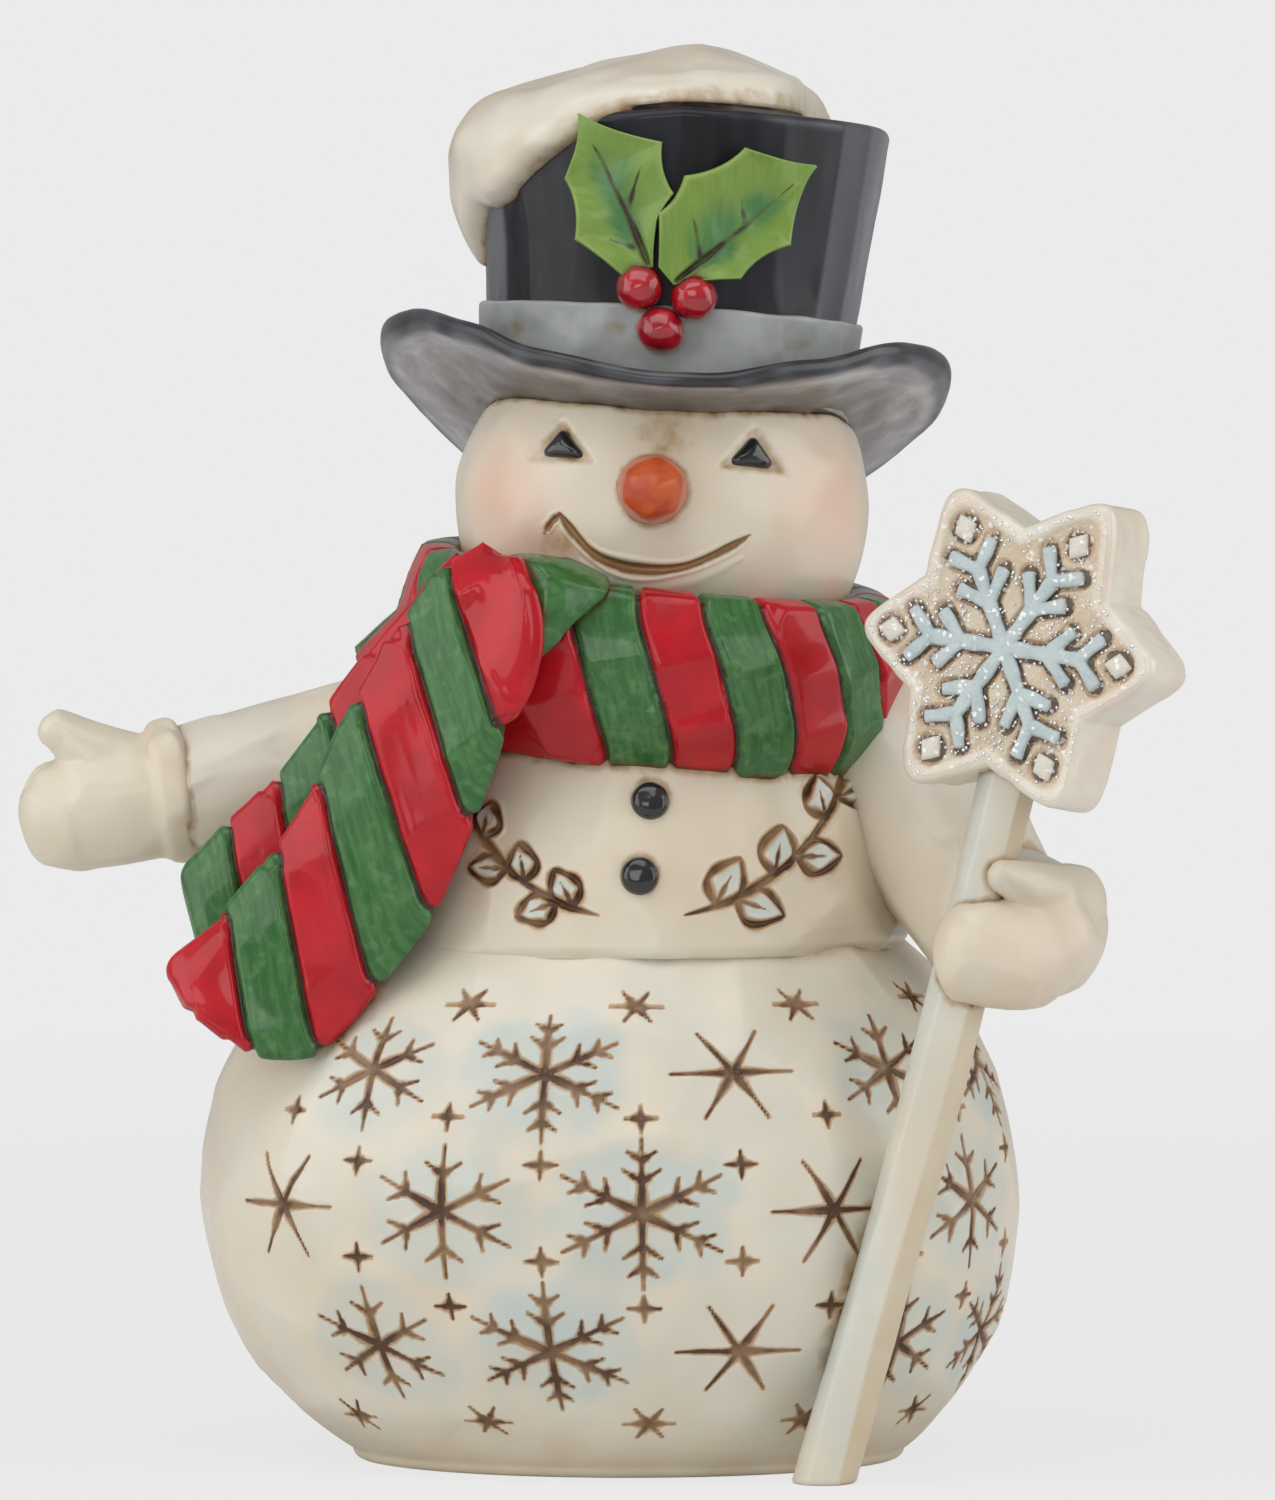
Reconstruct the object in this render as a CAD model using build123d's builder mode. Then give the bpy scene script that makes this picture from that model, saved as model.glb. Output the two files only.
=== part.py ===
from build123d import *
import os
from math import asin, atan2, cos, degrees, radians, sin, sqrt

os.makedirs("parts", exist_ok=True)

# A carved and painted snowman, about five inches tall, in millimetres.
# Origin at the middle of the flat base, +Z up, the face looks along -Y.
# "Left" and "right" are as seen from in front, looking at the face.

# ---- fits shared by all the joints ----
glue_gap = 0.08          # round a pin or a peg, on the radius
end_gap = 0.5            # past each end of a pin
staff_gap = 0.1          # round the staff where it passes the mitten and the belly

# ---- belly: a turned form, widest at its middle, squeezed front to back ----
belly_half_width = 35.7
belly_half_depth = 28.0
belly_middle_z = 23.0
base_half_width = 22.8
waist_half_width = 24.7
saw_spare = 2.0           # of the block below the base, sawn off level
waist_z = 46.0

# ---- chest: the upper part of an egg, a little to the right of the belly ----
chest_middle_x = 1.6
chest_half_width = 24.2
chest_half_depth = 21.0
chest_half_height = 28.0
neck_z = 71.5

# ---- head ----
head_middle = (4.55, 0, 83.2)
head_half_width = 18.0
head_half_depth = 16.2
head_half_height = 16.5

# ---- pins inside the body ----
belly_pin_radius = 3.0
belly_pin_length = 18.0
neck_pin_radius = 2.5
neck_pin_length = 14.0
hat_pin_radius = 2.5
hat_pin_length = 16.0

# ---- hat brim: a bowed oval plate, its sides turned up ----
hat_base = (4.6, 0.5, 88.3)
brim_half_width = 24.9
brim_half_depth = 22.0
brim_rise = 9.3
brim_thickness = 1.3
brim_tilt = 15.0         # front edge up
brim_roll = 4.6          # right side down

# ---- hat crown: an oval, wider at its top ----
crown_tilt = 2.5
crown_roll = 3.6
crown_half_width_low = 15.3
crown_half_width_top = 18.1
crown_flatness = 0.92    # depth over width
crown_height = 29.0
crown_edge = 0.6

# ---- hat band ----
band_height = 11.8       # above the middle of the brim
band_thickness = 0.6

# ---- snow on the hat: a flat mound, a flank over the left edge and a drip ----
snow_mound_inside = 2.5   # of its edge, inside the crown's top edge
snow_mound_height = 7.4
snow_mound_shift = -2.4   # to the left
snow_mound_sink = 0.6     # of its middle, into the crown
snow_flank_half = (5.4, 11.0, 6.0)
snow_flank_inside = 2.9   # of its middle, inside the crown's top edge
snow_flank_forward = 1.0
snow_flank_drop = 5.4     # of its middle, below the crown's top
snow_drip_half = (1.7, 3.0, 4.6)
snow_drip_inside = 0.5
snow_drip_forward = 3.0
snow_drip_drop = 10.6

# ---- holly: angles go round the crown from its front, heights go up it from the brim ----
leaf_thickness = 1.3      # over the crown, at the leaf's middle
leaf_length = 15.2
leaf_half_width = 5.0
leaf_spines = 3           # on each side
leaf_spine_depth = 0.9
leaf_end_bow = 0.3       # of the outline next to the root and next to the tip
leaf_root_share = 0.2     # of one spine's run, where the outline starts to widen
leaf_share_sum = 1.4      # runs of one spine added at both ends
leaf_left_angle = -17.0
leaf_left_height = 21.5
leaf_left_lean = -26.0    # from upright
leaf_right_angle = 20.0
leaf_right_height = 20.0
leaf_right_lean = 47.0
berry_radius = 1.9
berry_proud = 0.7         # of its middle, over the band
berry_left_place = (-12.7, 14.1)
berry_right_place = (5.2, 13.2)
berry_lower_place = (-5.0, 10.4)

# ---- face ----
nose_radius = 3.1
nose_tip_radius = 1.1
nose_tip_rounding = 0.88
nose_length = 8.5
nose_x = 3.7
nose_z = 85.0
nose_lift = 8.0           # degrees up from level
nose_seat = 1.0           # sunk into the head
nose_peg_radius = 1.3
nose_peg_length = 3.0
eye_half_width = 2.0
eye_height = 3.2
eye_depth = 1.6
eye_proud = 0.4
eye_corner = 0.35
eye_left_x = -4.1
eye_right_x = 12.2
eye_left_z = 88.6
eye_right_z = 88.1

# ---- buttons ----
button_radius = 1.6
button_height = 0.9
button_seat = 0.6         # sunk into the chest
button_rounding = 0.7
button_peg_radius = 0.7
button_peg_length = 3.0
button_upper_x = 3.5
button_upper_z = 58.5
button_lower_x = 2.6
button_lower_z = 52.0

# ---- scarf ----
wrap_middle = (2.0, 0.5, 69.6)
wrap_half_width = 23.9
wrap_half_depth = 21.6
wrap_inner_half_width = 9.0
wrap_height = 14.8
wrap_rounding = 5.0
wrap_tilt = 5.0           # front edge down
wrap_roll = 3.2           # left side up
tail_thickness = 4.0
tail_rounding = 1.6
front_tail_width = 12.4
back_tail_width = 10.0
fold_half_length = 5.8
fold_radius = 3.4
fold_direction = (0.88, 0, -0.47)
fold_offset = (-7.2, -20.2, 6.0)

# The hanging tails follow these points, from the neck down to the end.
front_tail_points = [
    (-9.4, -18.6, 78.0),
    (-12.4, -20.6, 70.0),
    (-17.2, -19.2, 60.2),
    (-23.4, -17.0, 49.8),
    (-32.8, -14.6, 39.8),
]
back_tail_points = [
    (-14.2, -16.6, 75.0),
    (-19.3, -15.8, 66.0),
    (-25.2, -13.6, 57.4),
    (-32.2, -11.0, 48.8),
]
front_tail_facing = (-0.42, -0.9, 0)
back_tail_facing = (-0.5, -0.86, 0)

# ---- open arm, on the left ----
open_shoulder = (-11.0, 0, 62.6)
open_wrist = (-37.2, -1.0, 58.1)
open_shoulder_radius = 8.5
open_wrist_radius = 5.6
cuff_radius = 6.3
cuff_length = 3.4
cuff_rounding = 1.4
palm_length = 15.2         # from the wrist to the finger tips
palm_half_height = 5.3
palm_half_depth = 3.9
palm_tip = 0.3             # share of the palm's section that is left at its tip
palm_stations = (0.1, 0.35, 0.65, 0.85, 0.96, 1.0)  # shares of the palm's length
open_thumb_radius = 2.3
open_thumb_half_length = 6.0
open_thumb_direction = (-0.88, -0.1, 0.46)
open_thumb_offset = (-8.3, -0.4, 4.9)

# ---- bent arm, on the right, with the mitten that holds the staff ----
bent_shoulder = (22.5, 1.0, 62.0)
bent_wrist = (32.2, -12.0, 47.6)
bent_shoulder_radius = 7.9
bent_wrist_radius = 6.8
bent_cuff_radius = 7.4
hand_radius = 6.2
hand_offset = (3.6, -8.5, -1.0)
hand_root_radius = 5.2
finger_radius = 4.9
finger_offset = (-0.4, -13.0, -2.2)
bent_thumb_radius = 2.3
bent_thumb_half_length = 5.2
bent_thumb_direction = (-0.96, -0.2, 0.16)
bent_thumb_offset = (3.6, -12.4, 4.4)

# ---- pins of the arms and wrists ----
arm_pin_radius = 1.6
arm_pin_length = 10.0
arm_pin_height = 57.0     # where the lines of both arm pins meet inside the chest
open_pin_run = 12.0       # from each shoulder along the limb to the line of its pin
bent_pin_run = 5.0
wrist_pin_radius = 1.4
wrist_pin_length = 8.0

# ---- staff ----
staff_foot = (18.3, -22.5, 0)
staff_radius = 2.45
staff_lean_right = 0.252  # sideways for each unit of height
staff_lean_front = 0.05
staff_seat = 2.0          # how far the full staff runs into the star
tenon_radius = 1.5
tenon_length = 7.0

# ---- star with its raised snowflake ----
star_height = 71.3        # of its middle, above the base
star_shift = -0.8
star_radius = 14.7
star_notch_radius = 10.6
star_thickness = 7.2
star_yaw = 29.0           # turned towards the left
star_pitch = 5.0          # turned up
star_turn = 7.5           # clockwise in its own plane
star_point_rounding = 1.2
star_points = 6
flake_height = 0.7
flake_sink = 0.3
flake_bar = 1.3
flake_length = 8.6
flake_branch_length = 3.2
flake_branch_places = (3.6, 6.3)
flake_branch_angle = 52.0
diamond_half_length = 1.3
diamond_half_width = 0.95
diamond_place = 11.0

base_align = (Align.CENTER, Align.CENTER, Align.MIN)
peg_align = (Align.CENTER, Align.CENTER, Align.MAX)
branch_align = (Align.MIN, Align.CENTER)


def span(start, end):
    return Vector(*end) - Vector(*start)


def offset_point(point, shift):
    return Vector(*point) + Vector(*shift)


def facing_plane(origin, across, facing, turn):
    # a plane that faces one way, its own X turned anticlockwise from across
    up = facing.cross(across)
    x_dir = across * cos(radians(turn)) + up * sin(radians(turn))
    return Plane(origin=origin, x_dir=x_dir, z_dir=facing)


def ellipsoid(half_width, half_depth, half_height):
    # a ball stretched to three half sizes
    with BuildPart() as form:
        Sphere(half_width)
        scale(by=(1, half_depth / half_width, half_height / half_width))
    return form.part


def ellipsoid_front(middle, half_width, half_depth, half_height, x, z):
    # the foremost point of an ellipsoid at a given x and z
    across = (x - middle[0]) / half_width
    upward = (z - middle[2]) / half_height
    return Vector(x, middle[1] - half_depth * sqrt(1 - across**2 - upward**2), z)


def ellipsoid_normal(middle, half_width, half_depth, half_height, point):
    away = point - Vector(*middle)
    return Vector(away.X / half_width**2, away.Y / half_depth**2, away.Z / half_height**2).normalized()


def rod(start, direction, radius, length):
    # a round bar from a point along a direction
    with BuildPart() as form:
        with BuildSketch(Plane(origin=start, z_dir=direction)):
            Circle(radius)
        extrude(amount=length)
    return form.part


def pin(middle, direction, radius, length):
    along = Vector(*direction).normalized()
    return rod(Vector(*middle) - along * (length / 2), along, radius, length)


def pin_bore(middle, direction, radius, length):
    return pin(middle, direction, radius + glue_gap, length + 2 * end_gap)


# ---- places worked out from the sizes above ----
chest_sizes = (chest_half_width, chest_half_depth, chest_half_height)
head_sizes = (head_half_width, head_half_depth, head_half_height)
chest_middle = (chest_middle_x, 0, waist_z)
waist_pin_middle = (chest_middle_x / 2, 0, waist_z)
neck_pin_middle = ((chest_middle_x + head_middle[0]) / 2, 0, neck_z)
brim_plane = Plane(hat_base).rotated((-brim_tilt, brim_roll, 0))
crown_plane = Plane(hat_base).rotated((-crown_tilt, crown_roll, 0))
crown_axis = crown_plane.z_dir
hat_pin_middle = Vector(*hat_base) + crown_axis * (brim_thickness / 2)
wrap_plane = Plane(wrap_middle).rotated((wrap_tilt, wrap_roll, 0))
open_axis = span(open_shoulder, open_wrist).normalized()
bent_axis = span(bent_shoulder, bent_wrist).normalized()
staff_axis = Vector(staff_lean_right, -staff_lean_front, 1).normalized()
staff_top_run = star_height / staff_axis.Z
star_middle = Vector(*staff_foot) + staff_axis * staff_top_run + Vector(star_shift, 0, 0)
star_facing = Vector(
    -sin(radians(star_yaw)) * cos(radians(star_pitch)),
    -cos(radians(star_yaw)) * cos(radians(star_pitch)),
    sin(radians(star_pitch)),
)
star_across = Vector(cos(radians(star_yaw)), -sin(radians(star_yaw)), 0)
star_plane = facing_plane(star_middle, star_across, star_facing, -star_turn)
star_face_plane = star_plane.offset(star_thickness / 2)


def crown_half_width(height):
    flare = crown_half_width_top - crown_half_width_low
    return crown_half_width_low + flare * height / crown_height


def crown_point(angle, height):
    # a point on the outside of the crown, angle counted from the front towards the right
    wide = crown_half_width(height)
    local = Vector(wide * sin(radians(angle)), -wide * crown_flatness * cos(radians(angle)), height)
    return crown_plane.from_local_coords(local)


def crown_normal(angle):
    local = Vector(crown_flatness * sin(radians(angle)), -cos(radians(angle)), 0)
    return (crown_plane.from_local_coords(local) - crown_plane.origin).normalized()


# ---- pins inside the body ----
belly_pin_part = pin(waist_pin_middle, (0, 0, 1), belly_pin_radius, belly_pin_length)
belly_pin_bore = pin_bore(waist_pin_middle, (0, 0, 1), belly_pin_radius, belly_pin_length)
neck_pin_part = pin(neck_pin_middle, (0, 0, 1), neck_pin_radius, neck_pin_length)
neck_pin_bore = pin_bore(neck_pin_middle, (0, 0, 1), neck_pin_radius, neck_pin_length)
hat_pin_part = pin(hat_pin_middle, crown_axis, hat_pin_radius, hat_pin_length)
hat_pin_bore = pin_bore(hat_pin_middle, crown_axis, hat_pin_radius, hat_pin_length)

with BuildPart() as belly_dowel:
    add(belly_pin_part)

with BuildPart() as neck_dowel:
    add(neck_pin_part)

with BuildPart() as hat_dowel:
    add(hat_pin_part)


def ellipsoid_exit(middle, half_sizes, start, direction):
    # where a line from inside an ellipsoid comes out
    offset = [(a - b) / c for a, b, c in zip(start, middle, half_sizes)]
    step = [a / c for a, c in zip(direction, half_sizes)]
    square = sum(a * a for a in step)
    middle_term = sum(a * b for a, b in zip(offset, step))
    rest = sum(a * a for a in offset) - 1
    run = (-middle_term + sqrt(middle_term**2 - square * rest)) / square
    return Vector(*start) + Vector(*direction) * run


def moved_ellipsoid(half_sizes, middle):
    return ellipsoid(*half_sizes).moved(Location(tuple(middle)))


def egg(middle, direction, half_length, radius):
    # an oval turned round its own long axis
    with BuildPart() as form:
        with BuildSketch(Plane.XZ):
            Ellipse(radius, half_length)
            split(bisect_by=Plane.YZ)
        revolve(axis=Axis.Z)
    return form.part.moved(Plane(origin=middle, z_dir=direction).location)


def taper(start, end, start_radius, end_radius):
    # a round limb between two points
    along = span(start, end)
    with BuildPart() as form:
        with BuildSketch(Plane(origin=start, z_dir=along)):
            Circle(start_radius)
        with BuildSketch(Plane(origin=end, z_dir=along)):
            Circle(end_radius)
        loft()
    return form.part


# ---- pins of the limbs: each is half in one piece and half in the next ----
pin_root = (chest_middle_x, 0, arm_pin_height)
open_pin_axis = span(pin_root, offset_point(open_shoulder, open_axis * open_pin_run)).normalized()
bent_pin_axis = span(pin_root, offset_point(bent_shoulder, bent_axis * bent_pin_run)).normalized()
open_pin_middle = ellipsoid_exit(chest_middle, chest_sizes, pin_root, open_pin_axis)
bent_pin_middle = ellipsoid_exit(chest_middle, chest_sizes, pin_root, bent_pin_axis)
open_pin_part = pin(open_pin_middle, open_pin_axis, arm_pin_radius, arm_pin_length)
open_pin_bore = pin_bore(open_pin_middle, open_pin_axis, arm_pin_radius, arm_pin_length)
bent_pin_part = pin(bent_pin_middle, bent_pin_axis, arm_pin_radius, arm_pin_length)
bent_pin_bore = pin_bore(bent_pin_middle, bent_pin_axis, arm_pin_radius, arm_pin_length)
open_wrist_part = pin(open_wrist, open_axis, wrist_pin_radius, wrist_pin_length)
open_wrist_bore = pin_bore(open_wrist, open_axis, wrist_pin_radius, wrist_pin_length)
bent_wrist_part = pin(bent_wrist, bent_axis, wrist_pin_radius, wrist_pin_length)
bent_wrist_bore = pin_bore(bent_wrist, bent_axis, wrist_pin_radius, wrist_pin_length)

with BuildPart() as open_arm_dowel:
    add(open_pin_part)

with BuildPart() as staff_arm_dowel:
    add(bent_pin_part)

with BuildPart() as open_wrist_dowel:
    add(open_wrist_part)

with BuildPart() as staff_wrist_dowel:
    add(bent_wrist_part)


# ---- buttons: a disc with a rounded face, on a peg ----
def button_form():
    with BuildPart() as form:
        with Locations((0, 0, -button_seat)):
            Cylinder(button_radius, button_seat + button_height, align=base_align)
        fillet(form.edges().sort_by(Axis.Z)[-1], button_rounding)
        with Locations((0, 0, -button_seat)):
            Cylinder(button_peg_radius, button_peg_length, align=peg_align)
    return form.part


def surface_place(middle, sizes, x, z):
    # a plane on the front of an ellipsoid, facing out of it
    point = ellipsoid_front(middle, *sizes, x, z)
    return Plane(origin=point, z_dir=ellipsoid_normal(middle, *sizes, point))


button_blank = button_form()
button_upper_place = surface_place(chest_middle, chest_sizes, button_upper_x, button_upper_z)
button_lower_place = surface_place(chest_middle, chest_sizes, button_lower_x, button_lower_z)
button_upper_part = button_blank.moved(button_upper_place.location)
button_lower_part = button_blank.moved(button_lower_place.location)

with BuildPart() as button_upper:
    add(button_upper_part)

with BuildPart() as button_lower:
    add(button_lower_part)

# ---- belly: the staff lies in a shallow channel down its right side ----
staff_channel = rod(staff_foot, staff_axis, staff_radius + staff_gap, staff_top_run)
with BuildPart() as belly:
    with BuildSketch(Plane.XZ):
        with BuildLine():
            widest = (belly_half_width, belly_middle_z)
            lower = TangentArc(widest, (base_half_width, 0), tangent=(0, -1))
            upper = TangentArc(widest, (waist_half_width, waist_z), tangent=(0, 1))
            Polyline(
                lower @ 1,
                (base_half_width, -saw_spare),
                (0, -saw_spare),
                (0, waist_z),
                upper @ 1,
            )
        make_face()
    revolve(axis=Axis.Z)
    scale(by=(1, belly_half_depth / belly_half_width, 1))
    split(bisect_by=Plane.XY, keep=Keep.TOP)
    add(belly_pin_bore, mode=Mode.SUBTRACT)
    add(staff_channel, mode=Mode.SUBTRACT)

# ---- chest ----
with BuildPart() as chest:
    add(moved_ellipsoid(chest_sizes, chest_middle))
    split(bisect_by=Plane.XY.offset(waist_z), keep=Keep.TOP)
    split(bisect_by=Plane.XY.offset(neck_z), keep=Keep.BOTTOM)
    add(belly_pin_bore, mode=Mode.SUBTRACT)
    add(neck_pin_bore, mode=Mode.SUBTRACT)
    add(open_pin_bore, mode=Mode.SUBTRACT)
    add(bent_pin_bore, mode=Mode.SUBTRACT)
    add(button_upper_part, mode=Mode.SUBTRACT)
    add(button_lower_part, mode=Mode.SUBTRACT)

# ---- hat brim: an oval cut from a big tube that lies front to back ----
brim_bow = (brim_half_width**2 + brim_rise**2) / (2 * brim_rise)
brim_profile_plane = Plane(hat_base, x_dir=brim_plane.x_dir, z_dir=-brim_plane.y_dir)


def bow_cylinder(radius):
    with BuildPart() as form:
        with BuildSketch(brim_profile_plane):
            with Locations((0, brim_bow)):
                Circle(radius)
        extrude(amount=brim_half_depth + brim_half_width, both=True)
    return form.part


over_brim = bow_cylinder(brim_bow - brim_thickness / 2)
over_brim_and_brim = bow_cylinder(brim_bow + brim_thickness / 2)

with BuildPart() as hat_brim:
    with BuildSketch(brim_plane.offset(-brim_thickness)):
        Ellipse(brim_half_width, brim_half_depth)
    extrude(amount=brim_bow)
    add(over_brim_and_brim, mode=Mode.INTERSECT)
    add(over_brim, mode=Mode.SUBTRACT)
    add(hat_pin_bore, mode=Mode.SUBTRACT)


# ---- hat crown and band ----
def crown_form(low, high, grow):
    # the flared oval between two heights, made wider all round by grow
    with BuildPart() as form:
        for height in (low, high):
            wide = crown_half_width(height) + grow
            deep = crown_half_width(height) * crown_flatness + grow
            with BuildSketch(crown_plane.offset(height)):
                Ellipse(wide, deep)
        loft()
    return form.part


crown_blank = crown_form(-brim_rise, crown_height, 0)
with BuildPart() as hat_crown:
    add(crown_blank)
    fillet(hat_crown.edges().sort_by(Axis.Z)[-1], crown_edge)
    add(over_brim, mode=Mode.INTERSECT)
    add(hat_pin_bore, mode=Mode.SUBTRACT)

with BuildPart() as hat_band:
    add(crown_form(-brim_rise, band_height, band_thickness))
    add(crown_blank, mode=Mode.SUBTRACT)
    add(over_brim, mode=Mode.INTERSECT)


# ---- holly leaves and berries ----
def leaf(angle, height, lean):
    # one side of the spiny outline runs from the root to the tip, and is mirrored
    point = crown_point(angle, height)
    facing = crown_normal(angle)
    leaf_plane = facing_plane(point, crown_axis.cross(facing), facing, -lean)
    rise = leaf_length / (leaf_spines + 1)
    tips = [Vector(0, -leaf_length / 2)]
    for spine in range(1, leaf_spines + 1):
        share = (spine + leaf_root_share) / (leaf_spines + leaf_share_sum)
        width = leaf_half_width * sin(radians(180 * share))
        tips.append(Vector(width, spine * rise - leaf_length / 2))
    tips.append(Vector(0, leaf_length / 2))
    with BuildPart() as form:
        with BuildSketch(leaf_plane.offset(-leaf_half_width)):
            with BuildLine():
                for low, high in zip(tips, tips[1:]):
                    dip = (low + high) / 2 - Vector(leaf_spine_depth, 0)
                    rise_bow = (low + high) / 2 + Vector(leaf_end_bow, 0)
                    bow = dip if low.X > 0 and high.X > 0 else rise_bow
                    ThreePointArc(low, bow, high)
                mirror(about=Plane.YZ)
            make_face()
        extrude(amount=leaf_half_width + leaf_thickness)
        add(hat_crown.part, mode=Mode.SUBTRACT)
        add(hat_band.part, mode=Mode.SUBTRACT)
    return form.part


leaf_left_part = leaf(leaf_left_angle, leaf_left_height, leaf_left_lean)
leaf_right_part = leaf(leaf_right_angle, leaf_right_height, leaf_right_lean)

with BuildPart() as holly_leaf_left:
    add(leaf_left_part)

with BuildPart() as holly_leaf_right:
    add(leaf_right_part)
    add(leaf_left_part, mode=Mode.SUBTRACT)


# ---- snow: a mound on top, a flank over the left edge and a drip below it ----
def on_hat(half_sizes, shift):
    place = crown_plane.offset(crown_height).from_local_coords(shift)
    return moved_ellipsoid(half_sizes, place)


with BuildPart() as hat_snow:
    mound_half_width = crown_half_width_top - snow_mound_inside
    mound_half_depth = crown_half_width_top * crown_flatness - snow_mound_inside
    mound_half = (mound_half_width, mound_half_depth, snow_mound_height)
    add(on_hat(mound_half, (snow_mound_shift, 0, -snow_mound_sink)))
    flank_x = snow_flank_inside - crown_half_width_top
    add(on_hat(snow_flank_half, (flank_x, -snow_flank_forward, -snow_flank_drop)))
    drip_x = snow_drip_inside - crown_half_width_top
    add(on_hat(snow_drip_half, (drip_x, -snow_drip_forward, -snow_drip_drop)))
    for neighbour in (hat_crown, hat_band, holly_leaf_left, holly_leaf_right):
        add(neighbour.part, mode=Mode.SUBTRACT)


def berry(place, neighbours):
    angle, height = place
    middle = crown_point(angle, height) + crown_normal(angle) * (band_thickness + berry_proud)
    with BuildPart() as form:
        with Locations(Location(tuple(middle))):
            Sphere(berry_radius)
        for neighbour in (hat_crown, hat_band, holly_leaf_left, holly_leaf_right):
            add(neighbour.part, mode=Mode.SUBTRACT)
        for neighbour in neighbours:
            add(neighbour, mode=Mode.SUBTRACT)
    return form.part


berry_left_part = berry(berry_left_place, [])
berry_right_part = berry(berry_right_place, [berry_left_part])
berry_lower_part = berry(berry_lower_place, [berry_left_part, berry_right_part])

with BuildPart() as holly_berry_left:
    add(berry_left_part)

with BuildPart() as holly_berry_right:
    add(berry_right_part)

with BuildPart() as holly_berry_lower:
    add(berry_lower_part)


# ---- eyes: small dark wedges let into pockets ----
def eye_form(x, z, grow):
    # a rounded triangle on the face, from the floor of its pocket outwards
    place = surface_place(head_middle, head_sizes, x, z)
    upright = Plane(origin=place.origin, x_dir=(1, 0, 0), z_dir=place.z_dir)
    with BuildPart() as form:
        with BuildSketch(upright.offset(-eye_depth - grow)):
            with BuildLine():
                Polyline(
                    (-eye_half_width, -eye_height / 2),
                    (eye_half_width, -eye_height / 2),
                    (0, eye_height / 2),
                    close=True,
                )
            make_face()
            fillet(vertices(), eye_corner)
            if grow > 0:
                offset(amount=grow)
        extrude(amount=eye_depth + grow + eye_proud)
    return form.part


with BuildPart() as eye_left:
    add(eye_form(eye_left_x, eye_left_z, 0))

with BuildPart() as eye_right:
    add(eye_form(eye_right_x, eye_right_z, 0))

# ---- carrot nose: a blunt cone with a peg ----
nose_root = ellipsoid_front(head_middle, *head_sizes, nose_x, nose_z)
nose_direction = (0, -cos(radians(nose_lift)), sin(radians(nose_lift)))
nose_plane = Plane(origin=nose_root, x_dir=(1, 0, 0), z_dir=nose_direction)
nose_run = nose_length + nose_seat
with BuildPart() as carrot_nose:
    with BuildSketch(nose_plane.offset(-nose_seat)):
        Circle(nose_radius)
    extrude(amount=nose_run, taper=degrees(atan2(nose_radius - nose_tip_radius, nose_run)))
    fillet(carrot_nose.edges().sort_by(Axis.Y)[0], nose_tip_rounding)
    with BuildSketch(nose_plane.offset(-nose_seat)):
        Circle(nose_peg_radius)
    extrude(amount=-nose_peg_length)

# ---- head ----
with BuildPart() as head:
    add(moved_ellipsoid(head_sizes, head_middle))
    split(bisect_by=Plane.XY.offset(neck_z), keep=Keep.TOP)
    add(over_brim_and_brim, mode=Mode.SUBTRACT)
    add(neck_pin_bore, mode=Mode.SUBTRACT)
    add(hat_pin_bore, mode=Mode.SUBTRACT)
    add(eye_form(eye_left_x, eye_left_z, glue_gap), mode=Mode.SUBTRACT)
    add(eye_form(eye_right_x, eye_right_z, glue_gap), mode=Mode.SUBTRACT)
    add(carrot_nose.part, mode=Mode.SUBTRACT)

# ---- scarf: a thick ring round the neck ----
with BuildPart() as wrap_ring:
    with BuildSketch(Plane.XZ):
        with Locations(((wrap_half_width + wrap_inner_half_width) / 2, 0)):
            RectangleRounded(wrap_half_width - wrap_inner_half_width, wrap_height, wrap_rounding)
    revolve(axis=Axis.Z)
    scale(by=(1, wrap_half_depth / wrap_half_width, 1))

with BuildPart() as scarf_wrap:
    add(wrap_ring.part.moved(wrap_plane.location))
    add(chest.part, mode=Mode.SUBTRACT)
    add(head.part, mode=Mode.SUBTRACT)
    add(open_pin_bore, mode=Mode.SUBTRACT)
    add(bent_pin_bore, mode=Mode.SUBTRACT)


# ---- scarf tails: straps that change direction from point to point ----
def strap(points, facing, width):
    with BuildPart() as form:
        for index, point in enumerate(points):
            before = points[max(index - 1, 0)]
            after = points[min(index + 1, len(points) - 1)]
            along = span(before, after).normalized()
            across = along.cross(Vector(*facing))
            with BuildSketch(Plane(origin=point, x_dir=across, z_dir=along)):
                RectangleRounded(width, tail_thickness, tail_rounding)
        loft()
    return form.part


with BuildPart() as scarf_front_tail:
    add(strap(front_tail_points, front_tail_facing, front_tail_width))
    for neighbour in (belly, chest, head, scarf_wrap):
        add(neighbour.part, mode=Mode.SUBTRACT)


def cuff(wrist, direction, radius):
    # a rolled ring round the wrist
    with BuildPart() as form:
        with BuildSketch(Plane(origin=wrist, z_dir=direction)):
            Circle(radius)
        extrude(amount=cuff_length)
        fillet(form.edges().filter_by(GeomType.CIRCLE), cuff_rounding)
    return form.part


# ---- open arm, with its mitten ----
with BuildPart() as open_arm:
    add(taper(open_shoulder, open_wrist, open_shoulder_radius, open_wrist_radius))
    for neighbour in (belly, chest, scarf_wrap):
        add(neighbour.part, mode=Mode.SUBTRACT)
    add(open_pin_bore, mode=Mode.SUBTRACT)
    add(open_wrist_bore, mode=Mode.SUBTRACT)

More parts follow.
